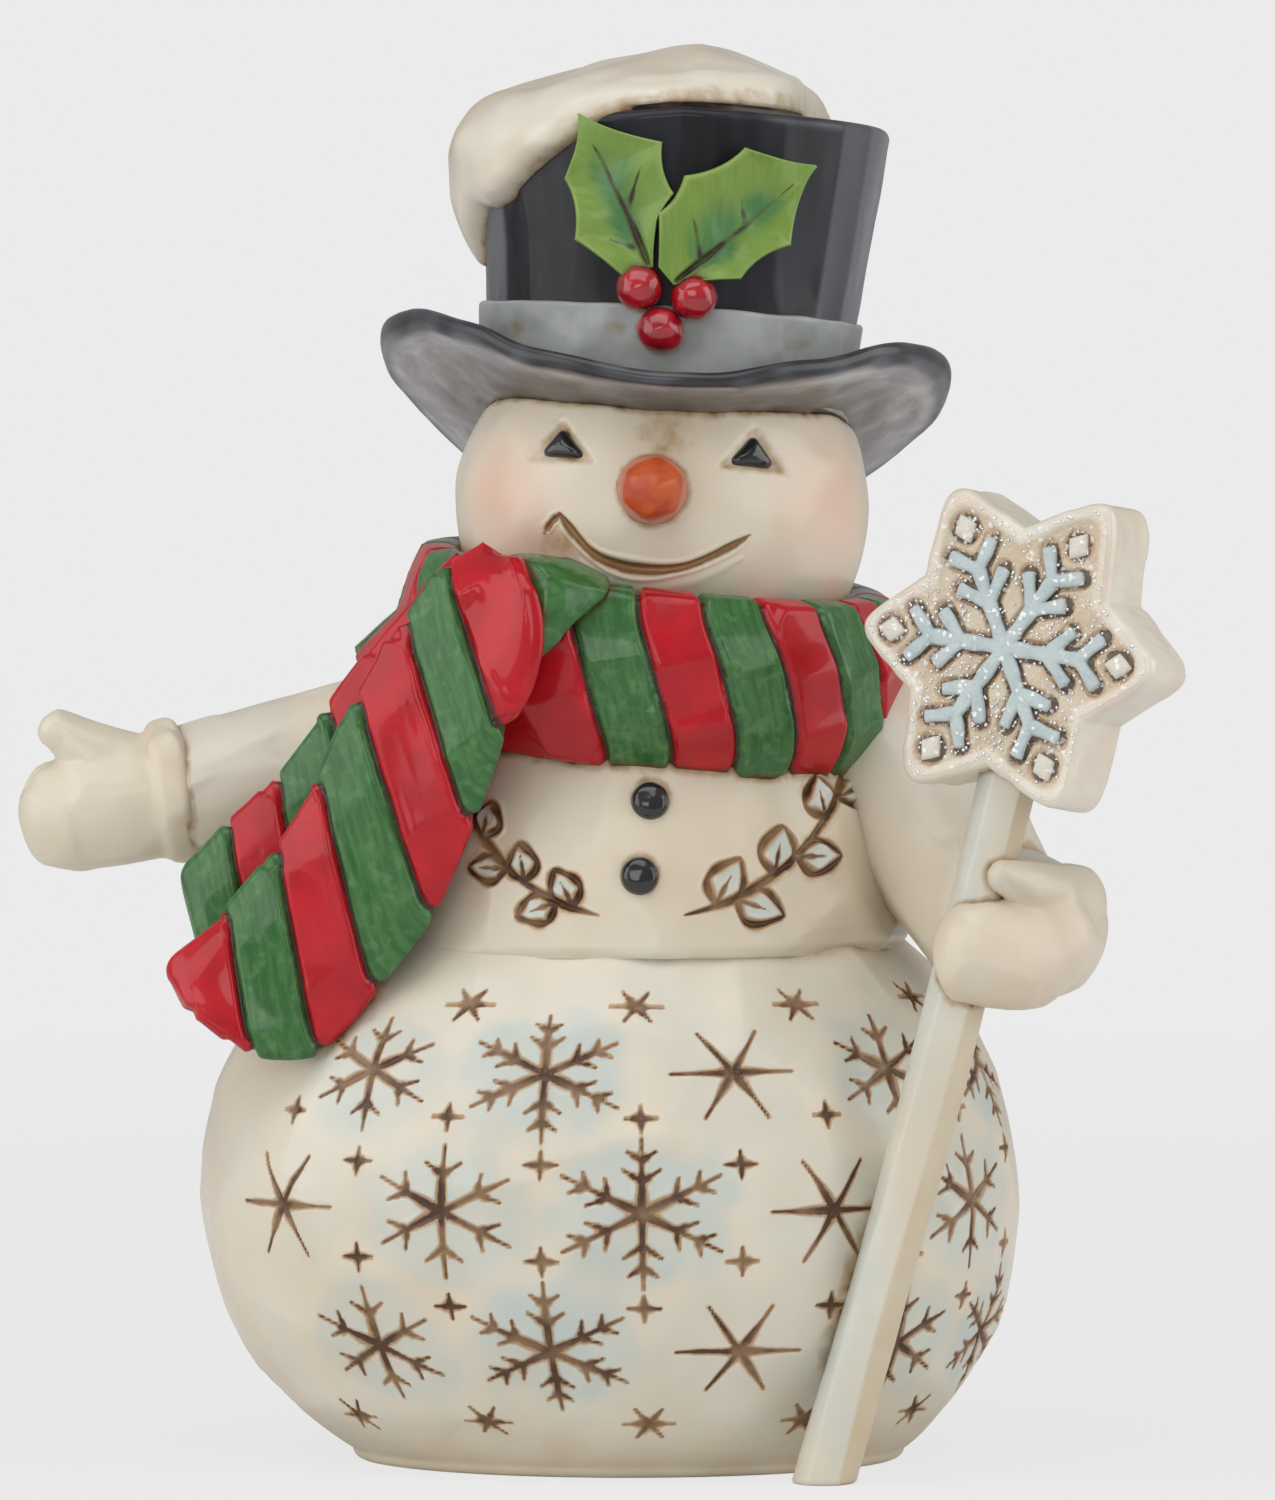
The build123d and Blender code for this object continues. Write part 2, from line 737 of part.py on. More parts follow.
open_wrist_plane = Plane(origin=open_wrist, x_dir=(0, 1, 0), z_dir=open_axis)
open_thumb_middle = offset_point(open_wrist, open_thumb_offset)
with BuildPart() as open_mitten:
    for share in palm_stations:
        narrowing = sqrt(1 - (1 - palm_tip**2) * share**6)
        with BuildSketch(open_wrist_plane.offset(share * palm_length)):
            Ellipse(palm_half_depth * narrowing, palm_half_height * narrowing)
    loft()
    add(egg(open_thumb_middle, open_thumb_direction, open_thumb_half_length, open_thumb_radius))
    add(cuff(open_wrist, open_axis, cuff_radius))
    add(open_arm.part, mode=Mode.SUBTRACT)
    add(open_wrist_bore, mode=Mode.SUBTRACT)

with BuildPart() as scarf_back_tail:
    add(strap(back_tail_points, back_tail_facing, back_tail_width))
    for neighbour in (belly, chest, head, scarf_wrap, scarf_front_tail, open_arm):
        add(neighbour.part, mode=Mode.SUBTRACT)

with BuildPart() as scarf_fold:
    fold_middle = offset_point(wrap_middle, fold_offset)
    add(egg(fold_middle, fold_direction, fold_half_length, fold_radius))
    for neighbour in (chest, head, scarf_wrap, scarf_front_tail, scarf_back_tail):
        add(neighbour.part, mode=Mode.SUBTRACT)

# ---- bent arm, with the mitten round the staff ----
with BuildPart() as staff_arm:
    add(taper(bent_shoulder, bent_wrist, bent_shoulder_radius, bent_wrist_radius))
    for neighbour in (belly, chest, scarf_wrap):
        add(neighbour.part, mode=Mode.SUBTRACT)
    add(bent_pin_bore, mode=Mode.SUBTRACT)
    add(bent_wrist_bore, mode=Mode.SUBTRACT)

hand_middle = offset_point(bent_wrist, hand_offset)
bent_thumb_middle = offset_point(bent_wrist, bent_thumb_offset)
with BuildPart() as staff_mitten:
    add(cuff(bent_wrist, bent_axis, bent_cuff_radius))
    add(taper(bent_wrist, tuple(hand_middle), hand_root_radius, hand_root_radius))
    with Locations(Location(tuple(hand_middle))):
        Sphere(hand_radius)
    with Locations(Location(tuple(offset_point(bent_wrist, finger_offset)))):
        Sphere(finger_radius)
    add(egg(bent_thumb_middle, bent_thumb_direction, bent_thumb_half_length, bent_thumb_radius))
    add(staff_arm.part, mode=Mode.SUBTRACT)
    add(belly.part, mode=Mode.SUBTRACT)
    add(bent_wrist_bore, mode=Mode.SUBTRACT)
    add(staff_channel, mode=Mode.SUBTRACT)

# ---- star: six blunt points, drilled for the staff ----
star_step = 180 / star_points
with BuildPart() as star_blank:
    with BuildSketch(star_plane.offset(-star_thickness / 2)):
        with BuildLine():
            corners = []
            for index in range(2 * star_points):
                reach = star_notch_radius if index % 2 else star_radius
                turn = radians(index * star_step)
                corners.append((reach * cos(turn), reach * sin(turn)))
            Polyline(*corners, close=True)
        make_face()
        outer_corners = vertices().sort_by(SortBy.DISTANCE)[star_points:]
        fillet(outer_corners, star_point_rounding)
    extrude(amount=star_thickness)

shaft_run = staff_top_run - star_notch_radius + staff_seat
tenon_start = offset_point(staff_foot, staff_axis * shaft_run)
arm_turns = [index * 360 / star_points for index in range(star_points)]
flake_plane = star_face_plane.offset(-flake_sink)

with BuildPart() as snowflake_relief:
    with BuildSketch(flake_plane):
        for turn in arm_turns:
            with Locations(Location((0, 0), turn)):
                Rectangle(flake_length, flake_bar, align=branch_align)
            for place in flake_branch_places:
                root = (place * cos(radians(turn)), place * sin(radians(turn)))
                for side in (-1, 1):
                    with Locations(Location(root, turn + side * flake_branch_angle)):
                        Rectangle(flake_branch_length, flake_bar, align=branch_align)
    extrude(amount=flake_sink + flake_height)

with BuildPart() as snowflake_tips:
    with BuildSketch(flake_plane):
        for turn in arm_turns:
            with Locations(Location((0, 0), turn)):
                Polygon(
                    (diamond_place - diamond_half_length, 0),
                    (diamond_place, -diamond_half_width),
                    (diamond_place + diamond_half_length, 0),
                    (diamond_place, diamond_half_width),
                    align=None,
                )
    extrude(amount=flake_sink + flake_height)

with BuildPart() as star_topper:
    add(star_blank.part)
    add(rod(staff_foot, staff_axis, staff_radius + glue_gap, shaft_run), mode=Mode.SUBTRACT)
    tenon_bore = rod(tenon_start, staff_axis, tenon_radius + glue_gap, tenon_length + end_gap)
    add(tenon_bore, mode=Mode.SUBTRACT)
    add(snowflake_relief.part, mode=Mode.SUBTRACT)
    add(snowflake_tips.part, mode=Mode.SUBTRACT)

# ---- staff: its foot is cut level with the base ----
staff_spare = staff_axis * staff_radius
with BuildPart() as staff:
    below_foot = offset_point(staff_foot, staff_spare * -1)
    add(rod(below_foot, staff_axis, staff_radius, shaft_run + staff_radius))
    add(rod(tenon_start, staff_axis, tenon_radius, tenon_length))
    split(bisect_by=Plane.XY, keep=Keep.TOP)

pieces = {
    "belly": belly,
    "chest": chest,
    "head": head,
    "belly_dowel": belly_dowel,
    "neck_dowel": neck_dowel,
    "hat_dowel": hat_dowel,
    "hat_brim": hat_brim,
    "hat_crown": hat_crown,
    "hat_band": hat_band,
    "hat_snow": hat_snow,
    "holly_leaf_left": holly_leaf_left,
    "holly_leaf_right": holly_leaf_right,
    "holly_berry_left": holly_berry_left,
    "holly_berry_right": holly_berry_right,
    "holly_berry_lower": holly_berry_lower,
    "carrot_nose": carrot_nose,
    "eye_left": eye_left,
    "eye_right": eye_right,
    "button_upper": button_upper,
    "button_lower": button_lower,
    "scarf_wrap": scarf_wrap,
    "scarf_fold": scarf_fold,
    "scarf_front_tail": scarf_front_tail,
    "scarf_back_tail": scarf_back_tail,
    "open_arm": open_arm,
    "open_arm_dowel": open_arm_dowel,
    "open_mitten": open_mitten,
    "open_wrist_dowel": open_wrist_dowel,
    "staff_arm": staff_arm,
    "staff_arm_dowel": staff_arm_dowel,
    "staff_mitten": staff_mitten,
    "staff_wrist_dowel": staff_wrist_dowel,
    "staff": staff,
    "star_topper": star_topper,
    "snowflake_relief": snowflake_relief,
    "snowflake_tips": snowflake_tips,
}

for name, piece in pieces.items():
    piece.part.label = name
    export_step(piece.part, f"parts/{name}.step")
    print(name, len(piece.part.solids()), round(piece.part.volume, 1))
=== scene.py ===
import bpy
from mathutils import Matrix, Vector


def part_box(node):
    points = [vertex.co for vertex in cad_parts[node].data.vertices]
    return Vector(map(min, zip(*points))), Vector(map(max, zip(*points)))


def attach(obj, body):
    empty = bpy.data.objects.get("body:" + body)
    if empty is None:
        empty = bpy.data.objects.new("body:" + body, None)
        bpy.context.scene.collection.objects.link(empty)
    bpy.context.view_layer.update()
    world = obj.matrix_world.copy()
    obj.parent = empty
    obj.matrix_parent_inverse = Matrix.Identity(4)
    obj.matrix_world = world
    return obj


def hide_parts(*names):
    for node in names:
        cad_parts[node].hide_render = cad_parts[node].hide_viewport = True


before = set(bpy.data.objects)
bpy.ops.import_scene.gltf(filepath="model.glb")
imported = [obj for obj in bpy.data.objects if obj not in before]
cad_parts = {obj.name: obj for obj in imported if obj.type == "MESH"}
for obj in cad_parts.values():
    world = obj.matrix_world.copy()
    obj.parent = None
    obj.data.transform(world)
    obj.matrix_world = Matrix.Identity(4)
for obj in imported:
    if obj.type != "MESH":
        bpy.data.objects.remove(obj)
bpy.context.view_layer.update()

import bpy
import numpy as np
from mathutils import Vector
from numpy import cos, pi, sin

# A carved and painted snowman in a top hat. Shapes are worked out in millimetres and
# written to the meshes in metres. The face looks along -Y; left and right are the viewer's.

toMetres = 0.001  # from millimetres
pointsAtOnce = 12000  # how many are cut in one go, so that the tables of distances stay small
shells = {}  # the points of each skin, kept so that its neighbours can find their creases
waiting = []  # the shapes that are still to be written to meshes


# numbers and fields
def unit(v):  # the same direction, length 1
    return v / np.maximum(np.linalg.norm(v, axis=-1, keepdims=True), 1e-9)


def xyz(x, y, z):
    return np.stack(np.broadcast_arrays(x, y, z), -1).astype(float)


def fullTurn(count):  # angles evenly round a circle, from 0
    return np.linspace(0, 2 * pi, count, endpoint=False)


def circle(side, top, count):  # unit arrows round a circle, from side towards top
    turn = fullTurn(count)[:, None]
    return side * cos(turn) + top * sin(turn)


def frontHeavy(count, share):
    # angles all the way round, from the back; the front half of the circle gets the share of them
    t = np.linspace(0, 1, count, endpoint=False)
    slow = (1 - share) / 2
    return np.interp(t, [0, slow, 1 - slow, 1], [-pi, -pi / 2, pi / 2, pi])


def signedPower(x, power):  # with a power below 1, it squares a sine or a cosine off
    return np.sign(x) * np.abs(x) ** power


def ramp(x, low, high):  # 0 at low, 1 at high, level at both ends
    t = np.clip((x - low) / (high - low), 0, 1)
    return t * t * (3 - 2 * t)


def bell(x, width):  # 1 at 0, falling off to both sides
    return np.exp(-(x / width) ** 2)


def waver(p, size, seed):  # a smooth random field: twelve sine waves in random directions
    rng = np.random.default_rng(seed)
    waves = unit(rng.normal(size=(12, 3))) * rng.uniform(0.6, 1.5, (12, 1)) * 2 * pi / size
    return sin(p @ waves.T + rng.uniform(0, 2 * pi, 12)).sum(-1) / 4


def bend(controls, count):  # cubic B-spline through its first and last control, sampled evenly
    c = np.asarray(controls, float)
    c = np.concatenate([[2 * c[0] - c[1]], c, [2 * c[-1] - c[-2]]])
    u = np.linspace(0, len(c) - 3, count)
    i = np.minimum(u.astype(int), len(c) - 4)
    t = (u - i).reshape((-1,) + (1,) * (c.ndim - 1))
    weights = ((1 - t) ** 3, 3 * t**3 - 6 * t**2 + 4, -3 * t**3 + 3 * t**2 + 3 * t + 1, t**3)
    return sum(w * c[i + k] for k, w in enumerate(weights)) / 6


def roundCurve(angles, places, heights):  # a smooth closed curve of heights over places, in degrees
    order = np.argsort(places)
    a = np.array(places, float)[order]
    h = np.array(heights, float)[order]
    a = np.concatenate([a - 360, a, a + 360])
    h = np.concatenate([h, h, h])
    fine = np.arange(-360, 721, 2.0)
    level = np.interp(fine, a, h)
    soft = np.convolve(level, np.hanning(9) / np.hanning(9).sum(), "same")
    return np.interp(np.mod(angles, 360), fine, soft)


def axesOf(tilt, roll):  # rows: the X, Y and Z of a plane turned about Y by roll, then about X by tilt
    a, b = np.radians(tilt), np.radians(roll)
    aboutX = np.array([[1, 0, 0], [0, cos(a), -sin(a)], [0, sin(a), cos(a)]])
    aboutY = np.array([[cos(b), 0, sin(b)], [0, 1, 0], [-sin(b), 0, cos(b)]])
    return (aboutX @ aboutY).T


def cornersOf(node):  # lowest and highest corner of a frame node, in millimetres
    return [np.array(corner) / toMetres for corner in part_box(node)]


def middleOf(node):
    low, high = cornersOf(node)
    return (low + high) / 2


# skins
def ringNormals(p, loop=False):
    # the cross product of the steps round each ring and the steps along the rings
    around = np.roll(p, -1, 1) - np.roll(p, 1, 1)
    along = np.roll(p, -1, 0) - np.roll(p, 1, 0) if loop else np.gradient(p, axis=0)
    n = unit(np.cross(around, along))
    middle = p.mean(1, keepdims=True)
    return n * np.sign(((p - middle) * n).sum(-1).mean())


def skin(p, loop=False, **values):
    # rings of points joined by four-sided faces; the two ends are closed by fans, or joined to each other
    rows, columns = p.shape[:2]
    index = np.arange(rows * columns).reshape(rows, columns)
    lower = index if loop else index[:-1]
    upper = np.roll(index, -1, 0) if loop else index[1:]
    quads = np.stack([lower, np.roll(lower, -1, 1), np.roll(upper, -1, 1), upper], -1).reshape(-1, 4)
    points = p.reshape(-1, 3)
    flat = {name: v.reshape((rows * columns,) + v.shape[2:]) for name, v in values.items()}
    triangles = np.zeros((0, 3), int)
    if not loop:
        hub = np.full(columns, rows * columns)
        start = np.stack([np.roll(index[0], -1), index[0], hub], -1)
        end = np.stack([index[-1], np.roll(index[-1], -1), hub + 1], -1)
        triangles = np.concatenate([start, end])
        points = np.concatenate([points, [p[0].mean(0), p[-1].mean(0)]])
        for name, v in values.items():
            flat[name] = np.concatenate([flat[name], [v[0].mean(0), v[-1].mean(0)]])
    corners = np.concatenate([triangles, quads[:, :3], quads[:, [0, 2, 3]]])
    a, b, c = (points[corners[:, k]] for k in range(3))
    if (a * np.cross(b, c)).sum() < 0:
        quads, triangles = quads[:, ::-1], triangles[:, ::-1]
    return {"points": points, "quads": quads, "triangles": triangles, "values": flat}


def together(skins):  # several closed skins with the same values, as one
    offsets = np.cumsum([0] + [len(s["points"]) for s in skins[:-1]])
    return {
        "points": np.concatenate([s["points"] for s in skins]),
        "quads": np.concatenate([s["quads"] + o for s, o in zip(skins, offsets)]),
        "triangles": np.concatenate([s["triangles"] + o for s, o in zip(skins, offsets)]),
        "values": {name: np.concatenate([s["values"][name] for s in skins]) for name in skins[0]["values"]},
    }


# the knife
def scatter(p, spacing, seed, limit=6000):
    # indices of random points of a surface, no two nearer than the spacing
    flat = p.reshape(-1, 3)
    rng = np.random.default_rng(seed)
    tried = rng.permutation(len(flat))[:limit]
    free = np.ones(len(tried), bool)
    kept = []
    for k in range(len(tried)):
        if free[k]:
            kept.append(tried[k])
            free &= np.linalg.norm(flat[tried] - flat[tried[k]], axis=1) > spacing
    return np.array(kept)


def whittle(p, n, seeds, soft, share=1.0, inset=0.0, stretch=(1, 1, 1)):
    # knife flats: each point drops along its normal on to the tangent planes of the nearest seeds,
    # which are blended over the length called soft
    shape = p.shape
    points, normals = p.reshape(-1, 3), n.reshape(-1, 3)
    s, m = points[seeds], normals[seeds]
    scale = np.array(stretch, float)
    result = np.empty_like(points)
    for start in range(0, len(points), pointsAtOnce):
        part = slice(start, start + pointsAtOnce)
        q, nq = points[part], normals[part]
        facing = nq @ m.T
        away = (((q[:, None] - s) * scale) ** 2).sum(-1) + 40 * np.maximum(0, 0.8 - facing)
        weight = np.exp(-(away - away.min(1, keepdims=True)) / soft**2)
        height = np.clip(((q[:, None] - s) * m).sum(-1) / np.maximum(facing, 0.6), -1.6, 0.7)
        drop = (weight * height).sum(1) / weight.sum(1)
        result[part] = q - nq * (share * drop + inset)[:, None]
    return result.reshape(shape)


def nearestCut(p, strokes, reach=2.5):
    # distance from each point to the nearest stroke, over its half width there; and that half width
    points = p.reshape(-1, 3)
    gap = np.full(len(points), 9.0)
    half = np.zeros(len(points))
    for path, wide in strokes:
        near = np.flatnonzero(((points > path.min(0) - reach) & (points < path.max(0) + reach)).all(1))
        if len(near) == 0:
            continue
        start, step = path[:-1], np.diff(path, axis=0)
        offset = points[near][:, None] - start
        t = np.clip((offset * step).sum(-1) / np.maximum((step * step).sum(-1), 1e-9), 0, 1)
        width = wide[:-1] + t * np.diff(wide)
        ratio = np.linalg.norm(offset - t[..., None] * step, axis=-1) / width
        best = ratio.argmin(1)
        rows = np.arange(len(near))
        better = ratio[rows, best] < gap[near]
        gap[near[better]] = ratio[rows, best][better]
        half[near[better]] = width[rows, best][better]
    return gap.reshape(p.shape[:-1]), half.reshape(p.shape[:-1])


def gouge(p, n, strokes, steep=0.95, burr=0.3, form=None):
    # V cuts along the strokes, with a raised burr on both sides: returns the points, and 1 on the cut falling
    # to 0 beside it. The form is the surface that the strokes were laid on, where it isn't p itself
    gap, half = nearestCut(p if form is None else form, strokes)
    depth = half * (steep * np.maximum(0, 1 - gap) ** 0.85 - burr * bell(gap - 1.45, 0.38))
    return p - n * depth[..., None], np.clip(1 - gap / 2.5, 0, 1)


def stroke(place, points, width, seed, ends=(0.25, 0.25), count=15, least=0.04):
    # a knife stroke through points of a pattern, thin at its ends, its width a little unsteady
    line = bend(points, count) if len(points) > 2 else np.linspace(points[0], points[-1], count)
    t = np.linspace(0, 1, count)
    taper = np.minimum(1, np.minimum((t + 0.03) / ends[0], (1.03 - t) / ends[1])) ** 0.7
    rng = np.random.default_rng(seed)
    unsteady = 1 + 0.22 * sin(t * rng.uniform(8, 16) + rng.uniform(0, 6))
    return place(line), np.maximum(width * taper * unsteady, least)


def nearness(points, others, reach):
    # 1 where another skin touches, falling to 0 at the reach; the points are taken by small blocks of space
    result = np.zeros(len(points))
    blockSize = 4.0
    which = np.unique(np.floor(points / blockSize).astype(int), axis=0, return_inverse=True)[1].ravel()
    groups = np.split(np.argsort(which, kind="stable"), np.cumsum(np.bincount(which))[:-1])
    for other in others:
        q = shells[other]
        q = q[((q > points.min(0) - reach) & (q < points.max(0) + reach)).all(1)]
        for rows in groups:
            block = points[rows]
            near = q[((q > block.min(0) - reach) & (q < block.max(0) + reach)).all(1)]
            if len(near):
                away = np.sqrt(((block[:, None] - near) ** 2).sum(-1).min(1))
                result[rows] = np.maximum(result[rows], 1 - np.clip(away / reach, 0, 1))
    return result


# pieces
def keepShape(name, shell, *how):
    # a shape waits until all of them are made, because the glaze and painted shade gather where two pieces
    # meet
    shells[name] = shell["points"]
    waiting.append((name, shell, *how))


def finishPiece(name, shell, nodes, slotName, material, touching=(), reach=1.6):
    # writes a skin to a mesh in metres, with its values as attributes, and seats it on the frame
    points = shell["points"]
    values = dict(shell["values"])
    if touching:
        # where other pieces touch: brown glaze with painted shade
        values["glaze"] = np.maximum(values.get("glaze", 0), nearness(points, touching, reach))
    quads, triangles = shell["quads"], shell["triangles"]
    mesh = bpy.data.meshes.new(name)
    mesh.vertices.add(len(points))
    mesh.vertices.foreach_set("co", (points * toMetres).astype(np.float32).ravel())
    mesh.loops.add(quads.size + triangles.size)
    corners = np.concatenate([quads.ravel(), triangles.ravel()])
    mesh.loops.foreach_set("vertex_index", corners.astype(np.int32))
    mesh.polygons.add(len(quads) + len(triangles))
    starts = np.concatenate([np.arange(len(quads)) * 4, quads.size + np.arange(len(triangles)) * 3])
    mesh.polygons.foreach_set("loop_start", starts.astype(np.int32))
    mesh.update(calc_edges=True)
    mesh.validate()
    mesh.polygons.foreach_set("use_smooth", np.ones(len(mesh.polygons), bool))
    for key, value in values.items():
        vector = np.ndim(value) > 1
        made = mesh.attributes.new(key, "FLOAT_VECTOR" if vector else "FLOAT", "POINT")
        made.data.foreach_set("vector" if vector else "value", np.asarray(value, np.float32).ravel())
    mesh.materials.append(material)
    piece = bpy.data.objects.new(name, mesh)
    bpy.context.scene.collection.objects.link(piece)
    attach(piece, "root")
    if nodes:
        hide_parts(*nodes)
    print("made", name, len(quads) * 2 + len(triangles), "triangles")


# paints
washes = {  # red, green and blue as seen, of what all the paints are washed and glazed with, of the brown that also lays painted shade, and of the white of painted glints
    "blueWash": (188, 197, 192),
    "brownWash": (194, 176, 146),
    "blush": (222, 158, 138),
    "glazeLight": (164, 134, 92),
    "glazeDark": (96, 64, 34),
    "stain": (166, 124, 74),  # soaked in beside a cut
    "cutDark": (76, 47, 25),
    "glint": (250, 250, 250),
}
tones = {  # and of each paint; a wash or glaze that is named again here is the paint's own
    "ivory": {"base": (217, 208, 190), "warm": (211, 198, 175), "cool": (206, 207, 197)},
    "staff": {"base": (215, 209, 193), "warm": (203, 192, 170), "cool": (190, 200, 196)},
    "coal": {
        "light": (26, 26, 28), "dark": (18, 18, 20), "glazeLight": (40, 34, 30), "glazeDark": (20, 16, 14),
    },
    "carrot": {
        "light": (188, 82, 36), "dark": (168, 62, 26), "glazeLight": (150, 72, 34), "glazeDark": (96, 52, 26),
    },
    "berry": {
        "light": (168, 20, 34), "dark": (138, 10, 26), "glazeLight": (96, 16, 22), "glazeDark": (48, 14, 16),
    },
    "snow": {
        "light": (214, 207, 192), "dark": (203, 190, 169), "stain": (128, 104, 82), "cutDark": (46, 38, 32),
    },
    "band": {
        "light": (164, 168, 165), "dark": (140, 144, 142),
        "glazeLight": (138, 124, 100), "glazeDark": (70, 58, 46),
    },
    "crown": {
        "base": (24, 24, 28), "streak": (40, 41, 47), "cloud": (50, 52, 61), "worn": (128, 130, 136),
        "glazeLight": (40, 35, 32), "glazeDark": (14, 12, 12), "stain": (20, 18, 18), "cutDark": (12, 11, 11),
    },
    "brim": {
        "rim": (36, 36, 42), "grey": (118, 116, 117), "paleGrey": (176, 174, 173), "cloud": (134, 131, 132),
        "shade": (72, 64, 58), "worn": (120, 122, 130), "glazeLight": (70, 60, 54), "glazeDark": (34, 28, 24),
    },
    "scarf": {
        "green": (44, 92, 44), "brushed": (66, 112, 60), "pale": (88, 132, 80), "deep": (40, 84, 42),
        "red": (166, 8, 22), "redLight": (186, 14, 30), "rim": (112, 122, 118), "line": (46, 30, 24),
        "glazeLight": (96, 50, 36), "glazeDark": (54, 32, 22), "stain": (96, 52, 40), "cutDark": (40, 26, 20),
    },
    "leaf": {
        "green": (106, 137, 52), "light": (115, 144, 60), "vein": (42, 104, 62), "edge": (160, 178, 104),
        "glazeLight": (86, 92, 38), "glazeDark": (54, 46, 24), "stain": (70, 92, 36), "cutDark": (42, 34, 20),
    },
    "star": {
        "field": (199, 185, 160), "fieldDark": (190, 170, 142), "stain": (194, 148, 101),
        "rim": (216, 210, 194), "rimDark": (212, 198, 180), "speckle": (66, 50, 38),
    },
    "flake": {
        "blue": (180, 192, 192), "blueDark": (166, 180, 180), "tip": (206, 202, 188), "speckle": (72, 54, 42),
    },
    "glitter": {"plate": (244, 246, 248)},
    "dowel": {"wood": (201, 166, 118), "grain": (168, 128, 84)},
    "floor": {"matt": (236, 236, 236)},
}


def paint(red, green, blue):  # 0 to 255 as seen, to the linear colour that a shader takes
    c = np.array([red, green, blue]) / 255
    linear = np.where(c <= 0.04045, c / 12.92, ((c + 0.055) / 1.055) ** 2.4)
    return (*(float(x) for x in linear), 1.0)


def newPaint(kind):
    # an empty material, its node tree, and its tones with the common washes behind them
    material = bpy.data.materials.new(kind + "Paint")
    material.use_nodes = True
    material.node_tree.nodes.clear()
    tone = {name: paint(*seen) for name, seen in {**washes, **tones[kind]}.items()}
    return material, material.node_tree, tone


def addNode(tree, kind, inputs=(), **settings):
    made = tree.nodes.new("ShaderNode" + kind)
    for key, value in settings.items():
        setattr(made, key, value)
    for key, value in dict(inputs).items():
        if isinstance(value, bpy.types.NodeSocket):
            tree.links.new(value, made.inputs[key])
        else:
            made.inputs[key].default_value = value
    return made


def mixed(tree, share, first, second):
    return addNode(tree, "Mix", {0: share, 6: first, 7: second}, data_type="RGBA").outputs[2]


def sums(tree, operation, first, second=0.0, clamp=True):
    return addNode(tree, "Math", {0: first, 1: second}, operation=operation, use_clamp=clamp).outputs[0]


def times(tree, first, second):
    return sums(tree, "MULTIPLY", first, second)


def roughened(tree, value, cloud, amount):  # a value moved up and down by a noise about its middle
    swing = sums(tree, "SUBTRACT", cloud, 0.5, False)
    return sums(tree, "ADD", value, sums(tree, "MULTIPLY", swing, amount, False), False)


def spread(tree, value, low, high, toLow=0.0, toHigh=1.0):  # a smooth step between two values
    inputs = {0: value, 1: low, 2: high, 3: toLow, 4: toHigh}
    return addNode(tree, "MapRange", inputs, interpolation_type="SMOOTHSTEP").outputs[0]


def over(tree, color, tone, value, low, high, most):
    # a tone laid over a colour where a value is high, up to a share
    return mixed(tree, spread(tree, value, low, high, 0, most), color, tone)


def valueOf(tree, name):
    return addNode(tree, "Attribute", attribute_name=name).outputs["Fac"]


def noise(tree, size, detail=3.0, stretch=None, along=None, shift=0.0):
    # cloudy noise with features of about one size in millimetres, on Object coordinates,
    # or on the piece's own flow coordinates where along names them
    if along:
        vector = addNode(tree, "Attribute", attribute_name=along).outputs["Vector"]
    else:
        vector = addNode(tree, "TexCoord").outputs["Object"]
    if stretch or shift:
        inputs = {"Vector": vector, "Scale": stretch or (1, 1, 1), "Location": (shift, shift, shift)}
        vector = addNode(tree, "Mapping", inputs).outputs[0]
    inputs = {"Vector": vector, "Scale": 1 / (size * toMetres), "Detail": detail}
    return addNode(tree, "TexNoise", inputs).outputs[0]


def shown(material, tree, shader):
    output = addNode(tree, "OutputMaterial")
    tree.links.new(shader.outputs[0], output.inputs[0])
    return material


def varnish(material, tree, color, rough, coat, coatRough, bumps, shine=0.35):
    # satin varnish over paint: cloudy roughness, a clear coat and fine bumps. Each bump is the size and
    # height of its noise in millimetres, and what else the noise is told
    settings = {
        "Base Color": color,
        "Roughness": spread(tree, noise(tree, 3.0), 0.3, 0.7, *rough),
        "Coat Weight": coat,
        "Coat Roughness": coatRough,
        "Specular IOR Level": shine,
    }
    shader = addNode(tree, "BsdfPrincipled", settings)
    normal = None
    for size, height, *flow in bumps:
        cloud = noise(tree, size, **dict(*flow))
        inputs = {"Height": cloud, "Distance": height * toMetres, "Strength": 1.0}
        if normal:
            inputs["Normal"] = normal
        normal = addNode(tree, "Bump", inputs).outputs[0]
    tree.links.new(normal, shader.inputs["Normal"])
    return shown(material, tree, shader)


def antiqued(tree, color, tone):
    # brown glaze wiped over the paint: it stays in cuts, and where pieces meet it is also painted shade
    patchy = noise(tree, 1.3, 4.0)
    thick = roughened(tree, valueOf(tree, "glaze"), patchy, 0.9)
    color = over(tree, color, tone["glazeLight"], thick, 0.38, 1.0, 0.85)
    color = over(tree, color, tone["glazeDark"], thick, 0.86, 1.12, 0.9)
    cut = valueOf(tree, "cut")
    soaked = spread(tree, roughened(tree, cut, patchy, 0.28), 0.27, 0.58, 0, 0.85)
    color = mixed(tree, soaked, color, tone["stain"])
    ragged = roughened(tree, cut, noise(tree, 0.45, 2.0), 0.22)
    worn = spread(tree, noise(tree, 3.2, 2.0, shift=0.6), 0.36, 0.62, 0.5, 1.0)
    return mixed(tree, times(tree, spread(tree, ragged, 0.58, 0.74), worn), color, tone["cutDark"])


